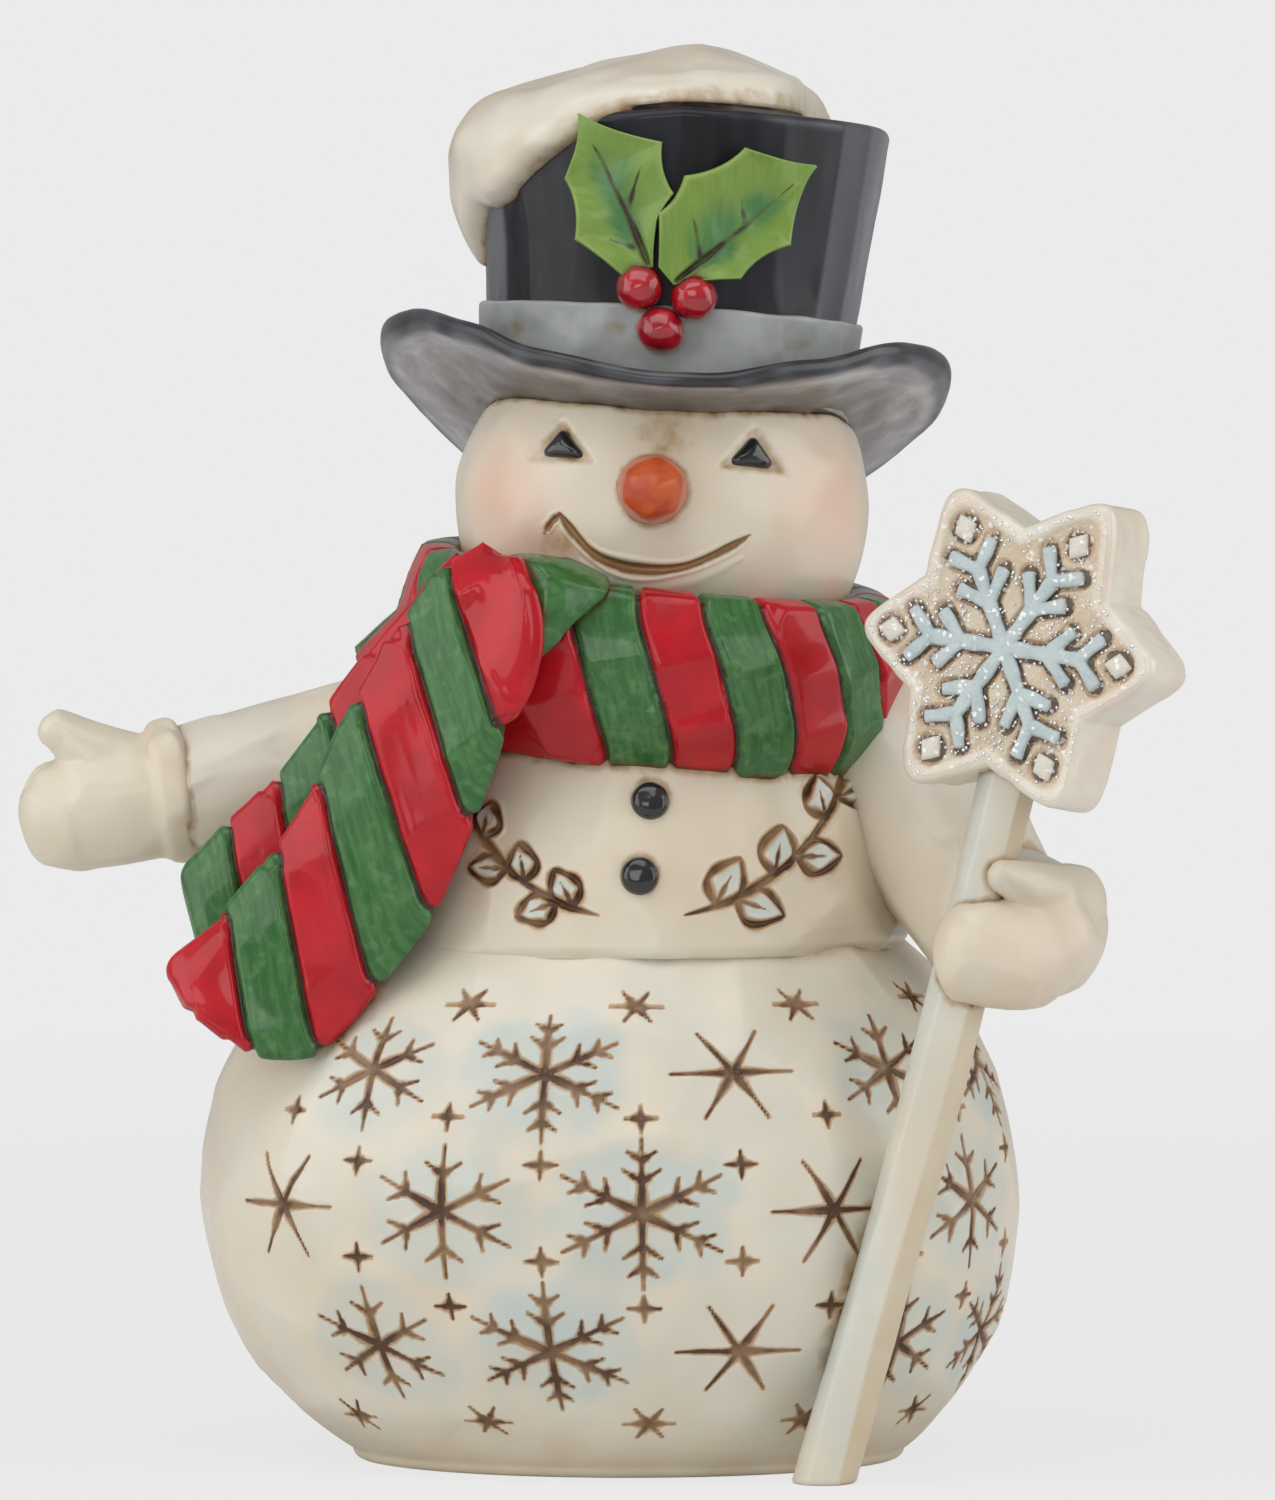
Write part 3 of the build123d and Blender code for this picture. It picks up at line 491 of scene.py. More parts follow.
def ivoryPaint(kind):
    # warm and cool clouds in cream, then the pieces' own blue and rosy washes, and a brown wash that also
    # lays painted shade
    material, tree, tone = newPaint(kind)
    color = mixed(tree, spread(tree, noise(tree, 16.0), 0.4, 0.7, 0, 0.7), tone["base"], tone["warm"])
    color = over(tree, color, tone["cool"], noise(tree, 11.0, shift=0.7), 0.5, 0.75, 0.45)
    washed = times(tree, valueOf(tree, "tint"), spread(tree, noise(tree, 4.0), 0.25, 0.7, 0.55, 1.0))
    color = mixed(tree, washed, color, tone["blueWash"])
    shaded = times(tree, valueOf(tree, "wash"), spread(tree, noise(tree, 5.0), 0.2, 0.7, 0.5, 1.0))
    color = mixed(tree, shaded, color, tone["brownWash"])
    rosy = times(tree, valueOf(tree, "blush"), spread(tree, noise(tree, 2.5), 0.2, 0.6, 0.75, 1.0))
    color = mixed(tree, rosy, color, tone["blush"])
    color = antiqued(tree, color, tone)
    return varnish(material, tree, color, (0.3, 0.44), 0.28, 0.14, ((2.2, 0.035), (0.35, 0.006)))


def plainPaint(kind, size, rough, coat, coatRough, bumps):
    # two tones in clouds of one size
    material, tree, tone = newPaint(kind)
    color = mixed(tree, spread(tree, noise(tree, size), 0.35, 0.65), tone["light"], tone["dark"])
    return varnish(material, tree, antiqued(tree, color, tone), rough, coat, coatRough, bumps)


def crownPaint():
    # near black, brushed upright; grey painted highlights on the flats at the two sides, and a grey top edge
    # that is part wear, part painted highlight
    material, tree, tone = newPaint("crown")
    streaks = noise(tree, 2.2, 4.0, (1, 1, 0.12))
    color = mixed(tree, spread(tree, streaks, 0.35, 0.75), tone["base"], tone["streak"])
    color = over(tree, color, tone["cloud"], noise(tree, 9.0), 0.45, 0.75, 0.5)
    color = antiqued(tree, color, tone)
    color = mixed(tree, times(tree, valueOf(tree, "worn"), 0.7), color, tone["worn"])
    bumps = ((2.5, 0.03, {"stretch": (1, 1, 0.15)}), (0.4, 0.004))
    return varnish(material, tree, color, (0.3, 0.42), 0.22, 0.12, bumps, 0.16)


def brimPaint():
    # black rim; the underside is painted a streaky grey, partly a painted reflection of the pale floor, with
    # painted highlights and some wear along the edge
    material, tree, tone = newPaint("brim")
    streaks = noise(tree, 1.6, 4.0, along="flow")
    grey = mixed(tree, spread(tree, streaks, 0.3, 0.72), tone["grey"], tone["paleGrey"])
    grey = over(tree, grey, tone["cloud"], noise(tree, 6.0, 2.0), 0.42, 0.68, 0.6)
    color = mixed(tree, valueOf(tree, "rubbed"), tone["rim"], grey)
    color = mixed(tree, valueOf(tree, "shade"), color, tone["shade"])
    color = antiqued(tree, color, tone)
    color = mixed(tree, times(tree, valueOf(tree, "worn"), 0.8), color, tone["worn"])
    bumps = ((1.6, 0.05, {"along": "flow"}), (0.4, 0.005))
    return varnish(material, tree, color, (0.3, 0.45), 0.5, 0.16, bumps)


def scarfPaint():
    # red and green stripes with dark brown in the cuts between them; the green is brushed along the stripe
    material, tree, tone = newPaint("scarf")
    stripe = valueOf(tree, "stripe")
    brush = noise(tree, 0.55, 3.0, along="flow")
    cloud = noise(tree, 4.0)
    green = mixed(tree, spread(tree, brush, 0.32, 0.72), tone["green"], tone["brushed"])
    green = over(tree, green, tone["pale"], noise(tree, 1.1, 4.0), 0.48, 0.72, 0.55)
    green = over(tree, green, tone["deep"], cloud, 0.5, 0.75, 0.35)
    red = mixed(tree, spread(tree, cloud, 0.35, 0.7), tone["red"], tone["redLight"])
    color = mixed(tree, spread(tree, stripe, -0.02, 0.02), green, red)
    # a painted highlight in pale grey-green along the back top edge of the wrap
    color = mixed(tree, valueOf(tree, "rim"), color, tone["rim"])
    line = sums(tree, "ABSOLUTE", stripe, clamp=False)
    ragged = roughened(tree, line, noise(tree, 0.7), 0.16)
    color = mixed(tree, spread(tree, ragged, 0.05, 0.15, 0.92, 0.0), color, tone["line"])
    color = antiqued(tree, color, tone)
    bumps = ((3.0, 0.03), (0.5, 0.006, {"along": "flow"}))
    return varnish(material, tree, color, (0.26, 0.4), 0.45, 0.07, bumps, 0.2)


def leafPaint():
    # yellow-green, brushed dark green along the veins, the edges left light
    material, tree, tone = newPaint("leaf")
    brush = noise(tree, 0.6, 3.0, along="flow")
    color = mixed(tree, spread(tree, brush, 0.35, 0.7), tone["green"], tone["light"])
    deep = roughened(tree, valueOf(tree, "shade"), brush, 0.9)
    color = over(tree, color, tone["vein"], deep, 0.25, 1.0, 0.85)
    color = mixed(tree, valueOf(tree, "worn"), color, tone["edge"])
    color = antiqued(tree, color, tone)
    return varnish(material, tree, color, (0.34, 0.46), 0.3, 0.2, ((0.6, 0.012, {"along": "flow"}),))


def starPaint():
    # peach-tan field, cream rim and sides, brown speckle round the snowflake, clear glitter in the paint
    material, tree, tone = newPaint("star")
    field = mixed(tree, spread(tree, noise(tree, 3.0), 0.3, 0.7), tone["field"], tone["fieldDark"])
    cream = mixed(tree, spread(tree, noise(tree, 5.0), 0.35, 0.7), tone["rim"], tone["rimDark"])
    color = mixed(tree, valueOf(tree, "field"), cream, field)
    near = valueOf(tree, "cut")
    color = over(tree, color, tone["stain"], near, 0.08, 0.8, 0.6)
    dirty = roughened(tree, near, noise(tree, 0.28, 1.0), 0.9)
    dirty = roughened(tree, dirty, noise(tree, 1.7, 2.0, shift=0.3), -1.2)  # broken here and there
    color = over(tree, color, tone["speckle"], dirty, 0.62, 0.9, 0.92)
    return glittered(material, tree, color, tone, 0.55)


def glittered(material, tree, color, tone, amount):
    # each small cell of a Voronoi pattern is a flake with its own tilt: some are painted white as glints,
    # most are not
    vector = addNode(tree, "TexCoord").outputs["Object"]
    cells = addNode(tree, "TexVoronoi", {"Vector": vector, "Scale": 1 / (0.32 * toMetres)})
    front = valueOf(tree, "front")
    chance = addNode(tree, "SeparateColor", {0: cells.outputs["Color"]}).outputs[0]
    bright = spread(tree, chance, 0.93, 0.97, 0, amount)
    color = mixed(tree, times(tree, bright, front), color, tone["glint"])
    level = (0.5, 0.5, 0.5, 1)
    tilt = mixed(tree, times(tree, front, 0.5), level, cells.outputs["Color"])
    away = addNode(tree, "VectorMath", {0: tilt, 1: level[:3]}, operation="SUBTRACT").outputs[0]
    grit = times(tree, noise(tree, 0.3, 2.0), front)
    inputs = {"Height": grit, "Distance": 0.09 * toMetres, "Strength": 1.0}
    normal = addNode(tree, "Bump", inputs).outputs[0]
    tipped = addNode(tree, "VectorMath", {0: normal, 1: away}, operation="ADD").outputs[0]
    tipped = addNode(tree, "VectorMath", {0: tipped}, operation="NORMALIZE").outputs[0]
    settings = {
        "Base Color": color,
        "Roughness": 0.42,
        "Coat Weight": 0.6,
        "Coat Roughness": 0.16,
        "Specular IOR Level": 0.6,
        "Normal": normal,
        "Coat Normal": tipped,
    }
    return shown(material, tree, addNode(tree, "BsdfPrincipled", settings))


def flakePaint():
    # pale blue bars, cream tips, brown speckle down their sides
    material, tree, tone = newPaint("flake")
    color = mixed(tree, spread(tree, noise(tree, 1.6), 0.3, 0.7), tone["blue"], tone["blueDark"])
    color = mixed(tree, valueOf(tree, "field"), color, tone["tip"])
    edge = roughened(tree, valueOf(tree, "cut"), noise(tree, 0.3, 1.0), 0.8)
    color = over(tree, color, tone["speckle"], edge, 0.6, 0.9, 0.9)
    return glittered(material, tree, color, tone, 0.7)


def glitterPaint():
    material, tree, tone = newPaint("glitter")
    settings = {"Base Color": tone["plate"], "Roughness": 0.12, "Metallic": 0.55, "Coat Weight": 0.5}
    return shown(material, tree, addNode(tree, "BsdfPrincipled", settings))


def dowelPaint():
    # bare hardwood: fine grain along the pin
    material, tree, tone = newPaint("dowel")
    grain = noise(tree, 0.6, 4.0, (1, 1, 0.1))
    color = mixed(tree, spread(tree, grain, 0.35, 0.65), tone["wood"], tone["grain"])
    return varnish(material, tree, color, (0.5, 0.65), 0.0, 0.3, ((0.5, 0.02),))


print("paints")
ivory, staffCream = ivoryPaint("ivory"), ivoryPaint("staff")
coal = plainPaint("coal", 2.0, (0.16, 0.24), 0.8, 0.05, ((1.0, 0.01),))
carrot = plainPaint("carrot", 2.4, (0.34, 0.44), 0.2, 0.09, ((1.2, 0.03),))
berryRed = plainPaint("berry", 1.6, (0.18, 0.28), 0.8, 0.05, ((0.8, 0.012),))
snowCream = plainPaint("snow", 8.0, (0.3, 0.45), 0.4, 0.16, ((2.4, 0.05), (0.4, 0.006)))
bandGrey = plainPaint("band", 5.0, (0.3, 0.44), 0.45, 0.14, ((1.6, 0.03),))
crownBlack, brimBlack, scarfColours, leafGreen = crownPaint(), brimPaint(), scarfPaint(), leafPaint()
starCream, flakeBlue, glitterClear, bareWood = starPaint(), flakePaint(), glitterPaint(), dowelPaint()


# belly
belly = {
    "footHalfWidth": 22.8,
    "waistHalfWidth": 24.7,
    "footShift": 1.75,
    "edgeRounding": 0.9,
    # the columns of points: where each run of them starts, in degrees from the front, and how many it has
    "columns": ((-180, 66), (-135, 26), (-63, 364), (90, 18), (135, 66)),
    "rows": 166,
    "flats": 9.0,  # spacing of the knife flats
    "cell": 9.4,  # middles of the flakes are 1.5 of this apart upwards
    "cellShift": (2.6, 0.6),  # of one flake's middle, from the front middle of the belly
    "endRow": 23.2,  # the top and bottom rows stand this far from the middle, so none is cut off
    "reach": (7.4, 5.6, 6.5, 2.9),  # of the rays of the four kinds of flake
    "spin": (0.0, 30.0, 0.0, 30.0),
    "cutHalfWidth": (0.37, 0.33, 0.36, 0.29),
    "barbs": (((0.42, 0.26), (0.7, 0.2)), (), ((0.55, 0.3),), ()),  # shares along the ray, and lengths
    "barbFork": 52.0,  # degrees between a ray and its barbs
    "barbHalf": 0.76,  # their half width over the ray's
    "tints": (1.0, 0.3, 0.75, 0.2),  # how blue it is round each kind
    "tickReach": 1.35,  # of the short ticks between the flakes
    "tickHalf": 0.3,
    "tickLimit": 16.0,  # no tick is further than this above or below the middle
    "meanShare": 0.93,  # of the half width: x of the pattern is measured round this radius
    "upShare": 1.13,  # of the half height: y is measured along an arc of this radius
    "leftEnd": -34.0,  # where the pattern ends, round the belly from its front
    "rightEnd": 50.0,
    # degrees from the front, height and reach of the flakes on the back
    "backFlakes": ((180, 25, 7.5), (146, 37, 4.8), (214, 36, 5.2), (148, 12, 5.0), (212, 11, 4.6)),
    "backHalf": 0.46,
    "joint": (43.6, 45.8),  # the glaze and painted shade under the chest's skirt darken between these heights
}
bellyLow, bellyHigh = cornersOf("belly")
bellyHalf = (bellyHigh - bellyLow) / 2
bellyFlatness = bellyHalf[1] / bellyHalf[0]
bellyMeanRadius = bellyHalf[0] * belly["meanShare"]


def bellyWidth(z):
    # two arcs that meet upright at the widest place: each has radius (k*k + h*h) / 2k,
    # where k is how far the end is drawn in and h is how far it is above or below
    rise = bellyHalf[2]
    drawnIn = bellyHalf[0] - np.where(z < rise, belly["footHalfWidth"], belly["waistHalfWidth"])
    radius = (drawnIn**2 + rise**2) / (2 * drawnIn)
    return bellyHalf[0] - radius + np.sqrt(np.maximum(radius**2 - (z - rise) ** 2, 0))


def bellyLean(z):  # its foot stands a little to the right of its middle
    return belly["footShift"] * np.clip(1 - z / bellyHalf[2], 0, 1) ** 1.7


def bellyPoint(angle, z):  # angle in radians from the front, towards the right
    wide = bellyWidth(z)
    return xyz(wide * sin(angle) + bellyLean(z), -wide * bellyFlatness * cos(angle), z)


def onBelly(line):
    # pattern places, x round the belly and y up its middle line, on to the surface
    rise = bellyHalf[2]
    z = rise + rise * sin(np.clip(line[:, 1] / (rise * belly["upShare"]), -1.5, 1.5))
    return bellyPoint(line[:, 0] / bellyMeanRadius, np.clip(z, 0.6, 2 * rise - 0.3))


def flakeMiddles():
    # a half-drop layout, each middle with the number of its kind: neighbours differ, the end rows are small
    side = belly["cell"]
    middles = []
    for row in range(-2, 3):
        for column in range(-4, 6):
            x = (column + (row % 2) / 2) * side * np.sqrt(3) + belly["cellShift"][0]
            if not belly["leftEnd"] < x < belly["rightEnd"]:
                continue
            if abs(row) == 2:
                middles.append((x, np.sign(row) * belly["endRow"], 3))
            else:
                y = row * 1.5 * side + belly["cellShift"][1]
                middles.append((x, y, (column - row // 2 + 2 * row - (row % 2)) % 3))
    return middles


def compass(degrees):  # a unit step, turned clockwise from straight up
    turn = np.radians(degrees)
    return np.array([sin(turn), cos(turn)])


def frostFlake(x, y, reach, barbs, half, seed, spin=0.0, crossing=3, least=0.15):
    # crossing strokes make the rays; each ray has pairs of slanting barbs at the given shares of its length
    middle = np.array([x, y])
    strokes = []
    for k in range(crossing):
        ray = reach * compass(180 / crossing * k + spin)
        line = np.array([middle - ray, middle + ray])
        strokes.append(stroke(onBelly, line, half, seed + k, (0.42, 0.42), least=least))
        for sense in (-1, 1):
            for share, length in barbs:
                for fork in (-belly["barbFork"], belly["barbFork"]):
                    root = middle + sense * ray * share
                    tip = root + reach * length * compass(60 * k + spin + fork + (0 if sense > 0 else 180))
                    seed += 1
                    line, wide = np.array([root, tip]), half * belly["barbHalf"]
                    strokes.append(stroke(onBelly, line, wide, seed, (0.05, 0.8), least=least))
    return strokes


def bellyStrokes():
    # the flakes, a little smaller towards the two ends, with a short tick up and to the right of each
    strokes = []
    for k, (x, y, kind) in enumerate(flakeMiddles()):
        reach = belly["reach"][kind] * (1 - 0.12 * ramp(np.abs(y), 12, 22))
        barbs, half, spin = (belly[name][kind] for name in ("barbs", "cutHalfWidth", "spin"))
        strokes += frostFlake(x, y, reach, barbs, half, 100 * k, spin)
        for fork in (30, 90) if kind < 3 else ():
            turn = np.radians(fork)
            place = np.array([x, y]) + belly["cell"] * np.array([cos(turn), sin(turn)])
            if abs(place[1]) < belly["tickLimit"]:
                seed = 5000 + 10 * k + fork
                strokes += frostFlake(*place, belly["tickReach"], (), belly["tickHalf"], seed, crossing=2)
    return strokes


def backFlakes():
    # a few plain six-ray flakes cut into the back
    strokes = []
    for k, (angle, height, reach) in enumerate(belly["backFlakes"]):
        x, y, seed = np.radians(angle) * bellyMeanRadius, height - bellyHalf[2], 9000 + 100 * k
        strokes += frostFlake(x, y, reach, ((0.52, 0.34),), belly["backHalf"], seed, least=0.24)
    return strokes


def makeBelly():
    # bellyPoint over angle and height, with a quarter circle round the foot and a disc at each end; then
    # knife flats, a slow waver and the flakes' cuts, all along the normals
    runs = belly["columns"] + ((180, 0),)
    spans = [(start, end, count) for (start, count), (end, _) in zip(runs, runs[1:])]
    angle = np.radians(np.concatenate([np.linspace(*span, endpoint=False) for span in spans]))
    rounding = belly["edgeRounding"]
    z = np.linspace(rounding, 2 * bellyHalf[2], belly["rows"])
    side = bellyPoint(angle[None, :], z[:, None])
    quarter = np.radians(np.linspace(0, 80, 6))[:, None]
    foot = side[:1] * [1, 1, 0]
    shrink = (bellyWidth(rounding) - rounding * (1 - sin(quarter))) / bellyWidth(rounding)
    edge = foot * shrink[..., None] + np.array([0, 0, 1]) * rounding * (1 - cos(quarter))[..., None]
    disc = foot * np.linspace(0.05, 0.9, 6)[:, None, None]
    top = side[-1:] * [1, 1, 0] * np.linspace(0.95, 0.1, 6)[:, None, None] + [0, 0, side[-1, 0, 2]]
    p = np.concatenate([disc, edge, side, top])
    n = ringNormals(p)
    body = slice(len(disc) + len(edge), len(p) - len(top))
    seeds = scatter(p[body], belly["flats"], 11)
    cut, tint = np.zeros(p.shape[:2]), np.zeros(p.shape[:2])
    fade = ramp(p[body][..., 2], 0, 5)[..., None]  # the foot stays round
    carved = whittle(p[body], n[body], seeds, 2.6, 0.42, 0.1)
    carved = carved - n[body] * 0.12 * waver(carved, 9.0, 3)[..., None]
    carved = p[body] + (carved - p[body]) * fade
    carved, cut[body] = gouge(carved, n[body], bellyStrokes() + backFlakes(), form=p[body])
    p[body] = carved
    p[..., 2] = np.maximum(p[..., 2], 0)
    across = np.arctan2(p[..., 0] - bellyLean(p[..., 2]), -p[..., 1] / bellyFlatness) * bellyMeanRadius
    up = np.arcsin(np.clip(p[..., 2] / bellyHalf[2] - 1, -1, 1)) * bellyHalf[2] * belly["upShare"]
    cloud = 0.12 * waver(p, 5.0, 8)
    for x, y, kind in flakeMiddles():
        away = np.hypot(across - x, up - y) / (belly["cell"] * 0.95)
        tint = np.maximum(tint, belly["tints"][kind] * (1 - ramp(away + cloud, 0.55, 1.1)))
    left, right = belly["leftEnd"], belly["rightEnd"]
    tint = tint * (ramp(across, left, left + 9) * ramp(-across, -right, 8 - right))
    # painted shade: browner towards the foot, and in broad random patches
    shadeLow = 0.55 * ramp(-p[..., 2], -7, 0) + 0.18 * np.clip(waver(p, 12, 5), 0, 1)
    patchy = np.clip(0.45 + 0.4 * waver(p, 6.0, 9) + 0.4 * ramp(across, 6, 16), 0, 1)
    # brown glaze with painted shade under the chest's skirt
    joint = 0.9 * ramp(p[..., 2], *belly["joint"]) * patchy
    shell = skin(p, cut=cut, tint=tint, wash=shadeLow, glaze=joint)
    keepShape("belly", shell, ["belly"], "ivory_paint", ivory,
              ("scarfFrontTail", "scarfBackTail", "staff", "staffSleeve", "openSleeve"), 2.0)


# chest
chest = {
    "halfHeight": 28.0,  # of the whole egg, of which the chest is the upper part
    "drop": 1.2,  # its skirt hangs over the belly's top by this
    "columns": 560,
    "rows": 172,
    "frontShare": 0.8,
    "blend": 26.0,  # the higher, the tighter the hollow where it meets the belly
    "flats": 8.5,
    "cutHalfWidth": 0.36,
    "stem": ((6.4, 48.6), (10.6, 49.6), (15.6, 52.6), (19.4, 57.2), (20.6, 61.4)),
    "mirrorAbout": 2.4,
    "mirrorShare": 0.82,  # the left sprig is a little smaller
    "leaves": ((0.16, 1), (0.26, -1), (0.44, 1), (0.54, -1), (0.72, 1), (0.82, -1), (1.0, 0)),
    "leafLength": 4.9,
    "leafHalfWidth": 1.45,
    "leafRise": 0.28,
    "leafLean": 44.0,  # degrees between the stem and a leaf
    "veinHalfWidth": 0.2,
}
chestLow, chestHigh = cornersOf("chest")
chestHalf = np.array([*(chestHigh - chestLow)[:2] / 2, chest["halfHeight"]])
chestMiddle = np.array([(chestLow[0] + chestHigh[0]) / 2, 0, chestLow[2]])


def onEgg(middle, half):
    # a place in front view, x and z, moved on to the front of an egg
    def place(line):
        across = (line[:, 0] - middle[0]) / half[0]
        upward = (line[:, 1] - middle[2]) / half[2]
        y = middle[1] - half[1] * np.sqrt(np.maximum(1 - across**2 - upward**2, 0.02))
        return np.stack([line[:, 0], y, line[:, 1]], -1)
    return place


def sprig(mirrored):
    # a curved stem with almond leaves: returns the stem, and each leaf's root, direction and length
    stem = np.array(chest["stem"], float)
    if mirrored:
        about = chest["mirrorAbout"]
        stem[:, 0] = about - (stem[:, 0] - about) * chest["mirrorShare"]
        stem[:, 1] = stem[0, 1] + (stem[:, 1] - stem[0, 1]) * chest["mirrorShare"]
    line = bend(stem, 101)
    leaves = []
    for share, side in chest["leaves"]:
        k = int(share * 99)
        along = unit(line[k + 1] - line[k])
        lean = np.radians(chest["leafLean"]) * side * (-1 if mirrored else 1)
        turned = np.array([
            along[0] * cos(lean) - along[1] * sin(lean),
            along[0] * sin(lean) + along[1] * cos(lean),
        ])
        size = chest["leafLength"] * (1 - 0.28 * share) * (chest["mirrorShare"] if mirrored else 1)
        leaves.append((line[k], turned, size))
    return stem, leaves


def chestStrokes():
    place = onEgg(chestMiddle, chestHalf)
    strokes, seed = [], 300
    for mirrored in (False, True):
        stem, leaves = sprig(mirrored)
        strokes.append(stroke(place, stem, chest["cutHalfWidth"], seed, (0.2, 0.1), 30))
        for root, along, size in leaves:
            across = np.array([-along[1], along[0]])
            wide = chest["leafHalfWidth"] * size / chest["leafLength"]
            for side in (-1, 1):
                seed += 1
                shares = ((0.06, 0.0), (0.3, 1.3), (0.62, 1.15), (1.0, 0.0))
                curve = np.array([root + along * size * t + across * side * wide * w for t, w in shares])
                strokes.append(stroke(place, curve, chest["cutHalfWidth"] * 0.9, seed, (0.05, 0.1), 20))
            vein = np.array([root + along * size * 0.12, root + along * size * 0.66])
            strokes.append(stroke(place, vein, chest["veinHalfWidth"], seed + 50, (0.1, 0.7)))
    return strokes


def inLeaves(p):
    # 1 inside the sprigs' leaves, in front only: an almond whose half width is a sine of the share along it
    inside = np.zeros(p.shape[:2])
    for mirrored in (False, True):
        for root, along, size in sprig(mirrored)[1]:
            offset = p[..., [0, 2]] - root
            t = (offset @ along) / size
            off = np.abs(offset @ np.array([-along[1], along[0]]))
            wide = chest["leafHalfWidth"] * size / chest["leafLength"]
            wide = wide * sin(pi * np.clip(t, 0, 1)) ** 0.8
            inside = np.maximum(inside, (1 - ramp(off, wide - 0.3, wide)) * (t > 0) * (t < 1))
    return inside * (p[..., 1] < 0)


def makeChest():
    # an egg over angle and height, widened at its skirt by the belly's own form; then flats, leaves and cuts
    angle = frontHeavy(chest["columns"], chest["frontShare"])
    z = np.linspace(chestLow[2] - chest["drop"], chestHigh[2], chest["rows"])[:, None]
    level = np.sqrt(1 - ((z - chestMiddle[2]) / chestHalf[2]) ** 2)
    p = xyz(level * chestHalf[0] * sin(angle), -level * chestHalf[1] * cos(angle), z)
    p = p + chestMiddle * [1, 1, 0]
    smooth = p
    # a smooth maximum of the two forms lets the skirt flow on to the belly; its edge turns in
    tuck = ramp(-z, 0.1 - chestLow[2], 1.1 - chestLow[2])
    inBelly = bellyWidth(z) / np.hypot(p[..., 0], p[..., 1] / bellyFlatness)
    swell = np.logaddexp(chest["blend"], chest["blend"] * inBelly) / chest["blend"]
    p[..., :2] = p[..., :2] * (swell - 0.04 * tuck)[..., None]
    n = ringNormals(p)
    raised = inLeaves(p)
    p = whittle(p, n, scatter(p, chest["flats"], 21), 2.6, 0.35, 0.1)
    p = p - n * (0.1 * waver(p, 8.0, 23) - chest["leafRise"] * raised)[..., None]
    p, cut = gouge(p, n, chestStrokes(), form=smooth)
    rings = np.zeros(p.shape[:2])
    for node in ("button_upper", "button_lower"):
        away = np.linalg.norm(p - middleOf(node), axis=-1)
        rings = np.maximum(rings, bell(away - 1.9, 0.5))
    # painted shade: browner low on the right, under the bent arm, over a little brown all over
    right = ramp(p[..., 0], 12, 22) * ramp(-p[..., 2], -66, -50)
    wash = 0.2 + 0.4 * right + 0.2 * np.clip(waver(p, 10, 25), 0, 1)
    shell = skin(p, cut=cut, tint=raised * 0.95, wash=wash * (1 - raised), glaze=rings * 0.85)
    keepShape("chest", shell, ["chest"], "ivory_paint", ivory,
              ("scarfWrap", "scarfFrontTail", "scarfBackTail"), 1.2)


# head
head = {
    "halfHeight": 16.5,
    "halfDepth": 16.2,
    "middleHeight": 83.2,
    "columns": 420,
    "rows": 232,
    "flats": 7.5,
    "noseAt": (3.7, 85.0),
    "eyes": (((-6.2, 87.9), (-2.05, 87.7), (-4.1, 90.4)), ((10.1, 87.2), (14.5, 86.8), (12.5, 89.8))),
    "socket": 0.8,  # how far the hollow spreads round the eye
    "socketDepth": 0.4,
    "mouth": ((-4.3, 82.8), (-2.55, 80.45), (-1.0, 79.15), (1.3, 78.2), (3.9, 77.95),
              (6.5, 78.25), (9.1, 79.35), (11.4, 80.6), (12.1, 81.1)),
    "mouthHalfWidth": 0.5,
    "mouthStain": 0.5,  # how dark the stain in the mouth is, beside the other cuts
    "tick": ((-5.65, 81.1), (-5.1, 82.1), (-4.3, 82.8)),
    "tickHalfWidth": 0.34,
    "lip": (1.5, 0.9, 0.14),  # how far under the mouth the lower lip is, its half width and its height
    "cheeks": ((-9.6, 84.6, 4.2), (20.0, 83.4, 4.6)),  # x, z and spread of the blush
    "cheekStrength": 0.43,
    "smudge": (4.6, 89.6, 3.3),  # x, z and spread of the painted shadow of the brim between the eyes, laid in brown
    "smear": (-4.2, 80.4, 1.6),  # and of the stain under the corner of the mouth
}
headLow, headHigh = cornersOf("head")
headHalf = np.array([(headHigh[0] - headLow[0]) / 2, head["halfDepth"], head["halfHeight"]])
headMiddle = np.array([(headLow[0] + headHigh[0]) / 2, 0, head["middleHeight"]])


def outsideTriangle(x, z, corners):
    # the distance outside a triangle, rounded at its corners; negative inside
    c = np.array(corners)
    away = []
    for a, b in zip(c, np.roll(c, -1, 0)):
        along = unit(b - a)
        off = (x - a[0]) * along[1] - (z - a[1]) * along[0]
        away.append(off * np.sign(((c.mean(0) - a) * [along[1], -along[0]]).sum()) * -1)
    outside = np.sqrt((np.maximum(away, 0) ** 2).sum(0))
    return np.where(outside > 0, outside, np.max(away, 0))


